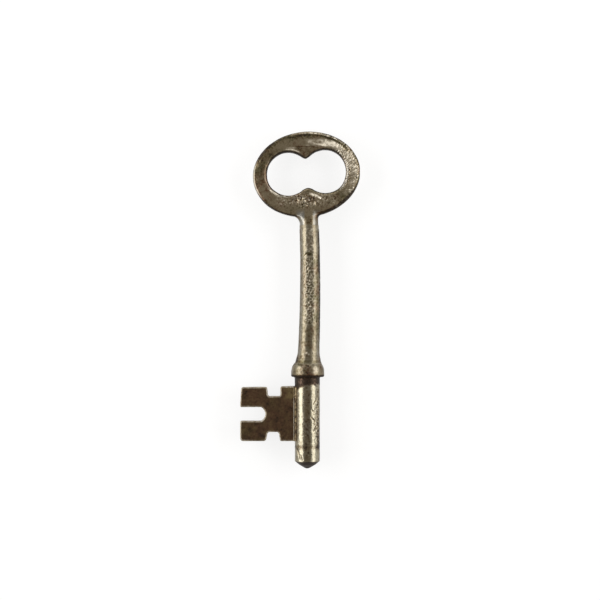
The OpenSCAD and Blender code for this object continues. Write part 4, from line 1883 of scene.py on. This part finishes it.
@dataclass
class Studio:
    """The pale floor, the backdrop, the soft lamps and the camera straight above the key.

    The looks of the floor and the wall are a grey and the strength of its glow.
    """

    view_mm: float = 142.43
    centre: Spot = (-1.733, 38.22)
    lens: float = 100.0
    sensor: float = 36.0
    clip: float = 0.01
    floor_look: Spot = (0.25, 0.79)
    floor_half: float = 2.0
    wall_look: Spot = (0.5, 0.75)
    wall_r: float = 1.6
    wall_h: float = 0.42
    wall_sides: int = 96
    sky: Colour = (0.36, 0.345, 0.32)
    lamps: tuple[Softbox, ...] = (
        Softbox("left_lamp", 172, 62, 0.55, 0.27, 3.4),
        Softbox("right_lamp", 8, 60, 0.55, 0.25, 2.9),
        Softbox("top_lamp", 90, 66, 0.3, 0.16, 1.4),
    )

    def pale(self, name: str, white: float, glow: float) -> bpy.types.Material:
        """A plain pale material that lamps shade, with a glow that only what looks at it sees.

        Args:
            name: the material's name.
            white: its grey.
            glow: the glow's strength.

        Returns:
            The material.
        """
        made = bpy.data.materials.new(name)
        made.use_nodes = True
        net = Net(made.node_tree)
        rays = net.node("ShaderNodeLightPath", {}, {})
        seen = [Wire(net, rays.outputs[f"Is {kind} Ray"]) for kind in ("Camera", "Glossy", "Transmission")]
        strength = (seen[0] + seen[1] + seen[2]).held() * glow
        dull = net.wire("ShaderNodeBsdfDiffuse", {}, {"Color": (white, white, white, 1)})
        light = net.wire("ShaderNodeEmission", {}, {"Color": (1, 1, 1, 1), "Strength": strength})
        both = net.wire("ShaderNodeAddShader", {}, {0: dull, 1: light})
        net.node("ShaderNodeOutputMaterial", {}, {0: both})
        return made

    def add_stage(self, bm: bmesh.types.BMesh, name: str, material: bpy.types.Material) -> None:
        """Adds a part of the stage.

        Args:
            bm: its form, which is freed.
            name: its name.
            material: its material.
        """
        mesh = finished(bm, name)
        mesh.materials.append(material)
        placed(name, mesh)

    def build(self) -> None:
        """Builds the stage, the lamps and the camera."""
        target = Vector((self.centre[0] * MM, self.centre[1] * MM, 0))
        level = SOLIDS_BOX[0].z
        floor = bmesh.new()
        bmesh.ops.create_grid(floor, x_segments=2, y_segments=2, size=self.floor_half)
        bmesh.ops.translate(floor, verts=floor.verts, vec=(target.x, target.y, level))
        self.add_stage(floor, "floor", self.pale("pale_floor", *self.floor_look))
        wall = bmesh.new()
        ends = [wall.verts.new((self.wall_r, 0, z)) for z in (level, level + self.wall_h)]
        wall.edges.new(ends)
        spun(wall, (0, 0, 1), self.wall_sides)
        self.add_stage(wall, "backdrop", self.pale("pale_backdrop", *self.wall_look))
        for lamp in self.lamps:
            lamp.add(target)
        world = bpy.data.worlds.new("studio_air")
        world.use_nodes = True
        net = Net(world.node_tree)
        air = net.wire("ShaderNodeBackground", {}, {"Color": (*self.sky, 1), "Strength": 1.0})
        net.node("ShaderNodeOutputWorld", {}, {0: air})
        bpy.context.scene.world = world
        self.add_camera(target)

    def add_camera(self, target: Vector) -> None:
        """Adds the camera, straight above the key, with the bow up.

        Args:
            target: the point that it looks at.
        """
        data = bpy.data.cameras.new("camera")
        data.lens = self.lens
        data.sensor_width = self.sensor
        data.clip_start = self.clip
        camera = placed("camera", data)
        camera.location = target + Vector((0, 0, self.view_mm * MM * self.lens / self.sensor))
        bpy.context.scene.camera = camera
        bpy.context.scene.view_settings.view_transform = "Standard"


def main() -> None:
    """Builds the studio and the key's pieces."""
    logging.basicConfig(level=logging.INFO, format="%(name)s: %(message)s")
    Studio().build()
    for part in (Bow(), Stem(), Collar(), Pin(), Bit(), Filler()):
        part.build()
        log.info("built %s", type(part).__name__)


if __name__ == "__main__":
    main()
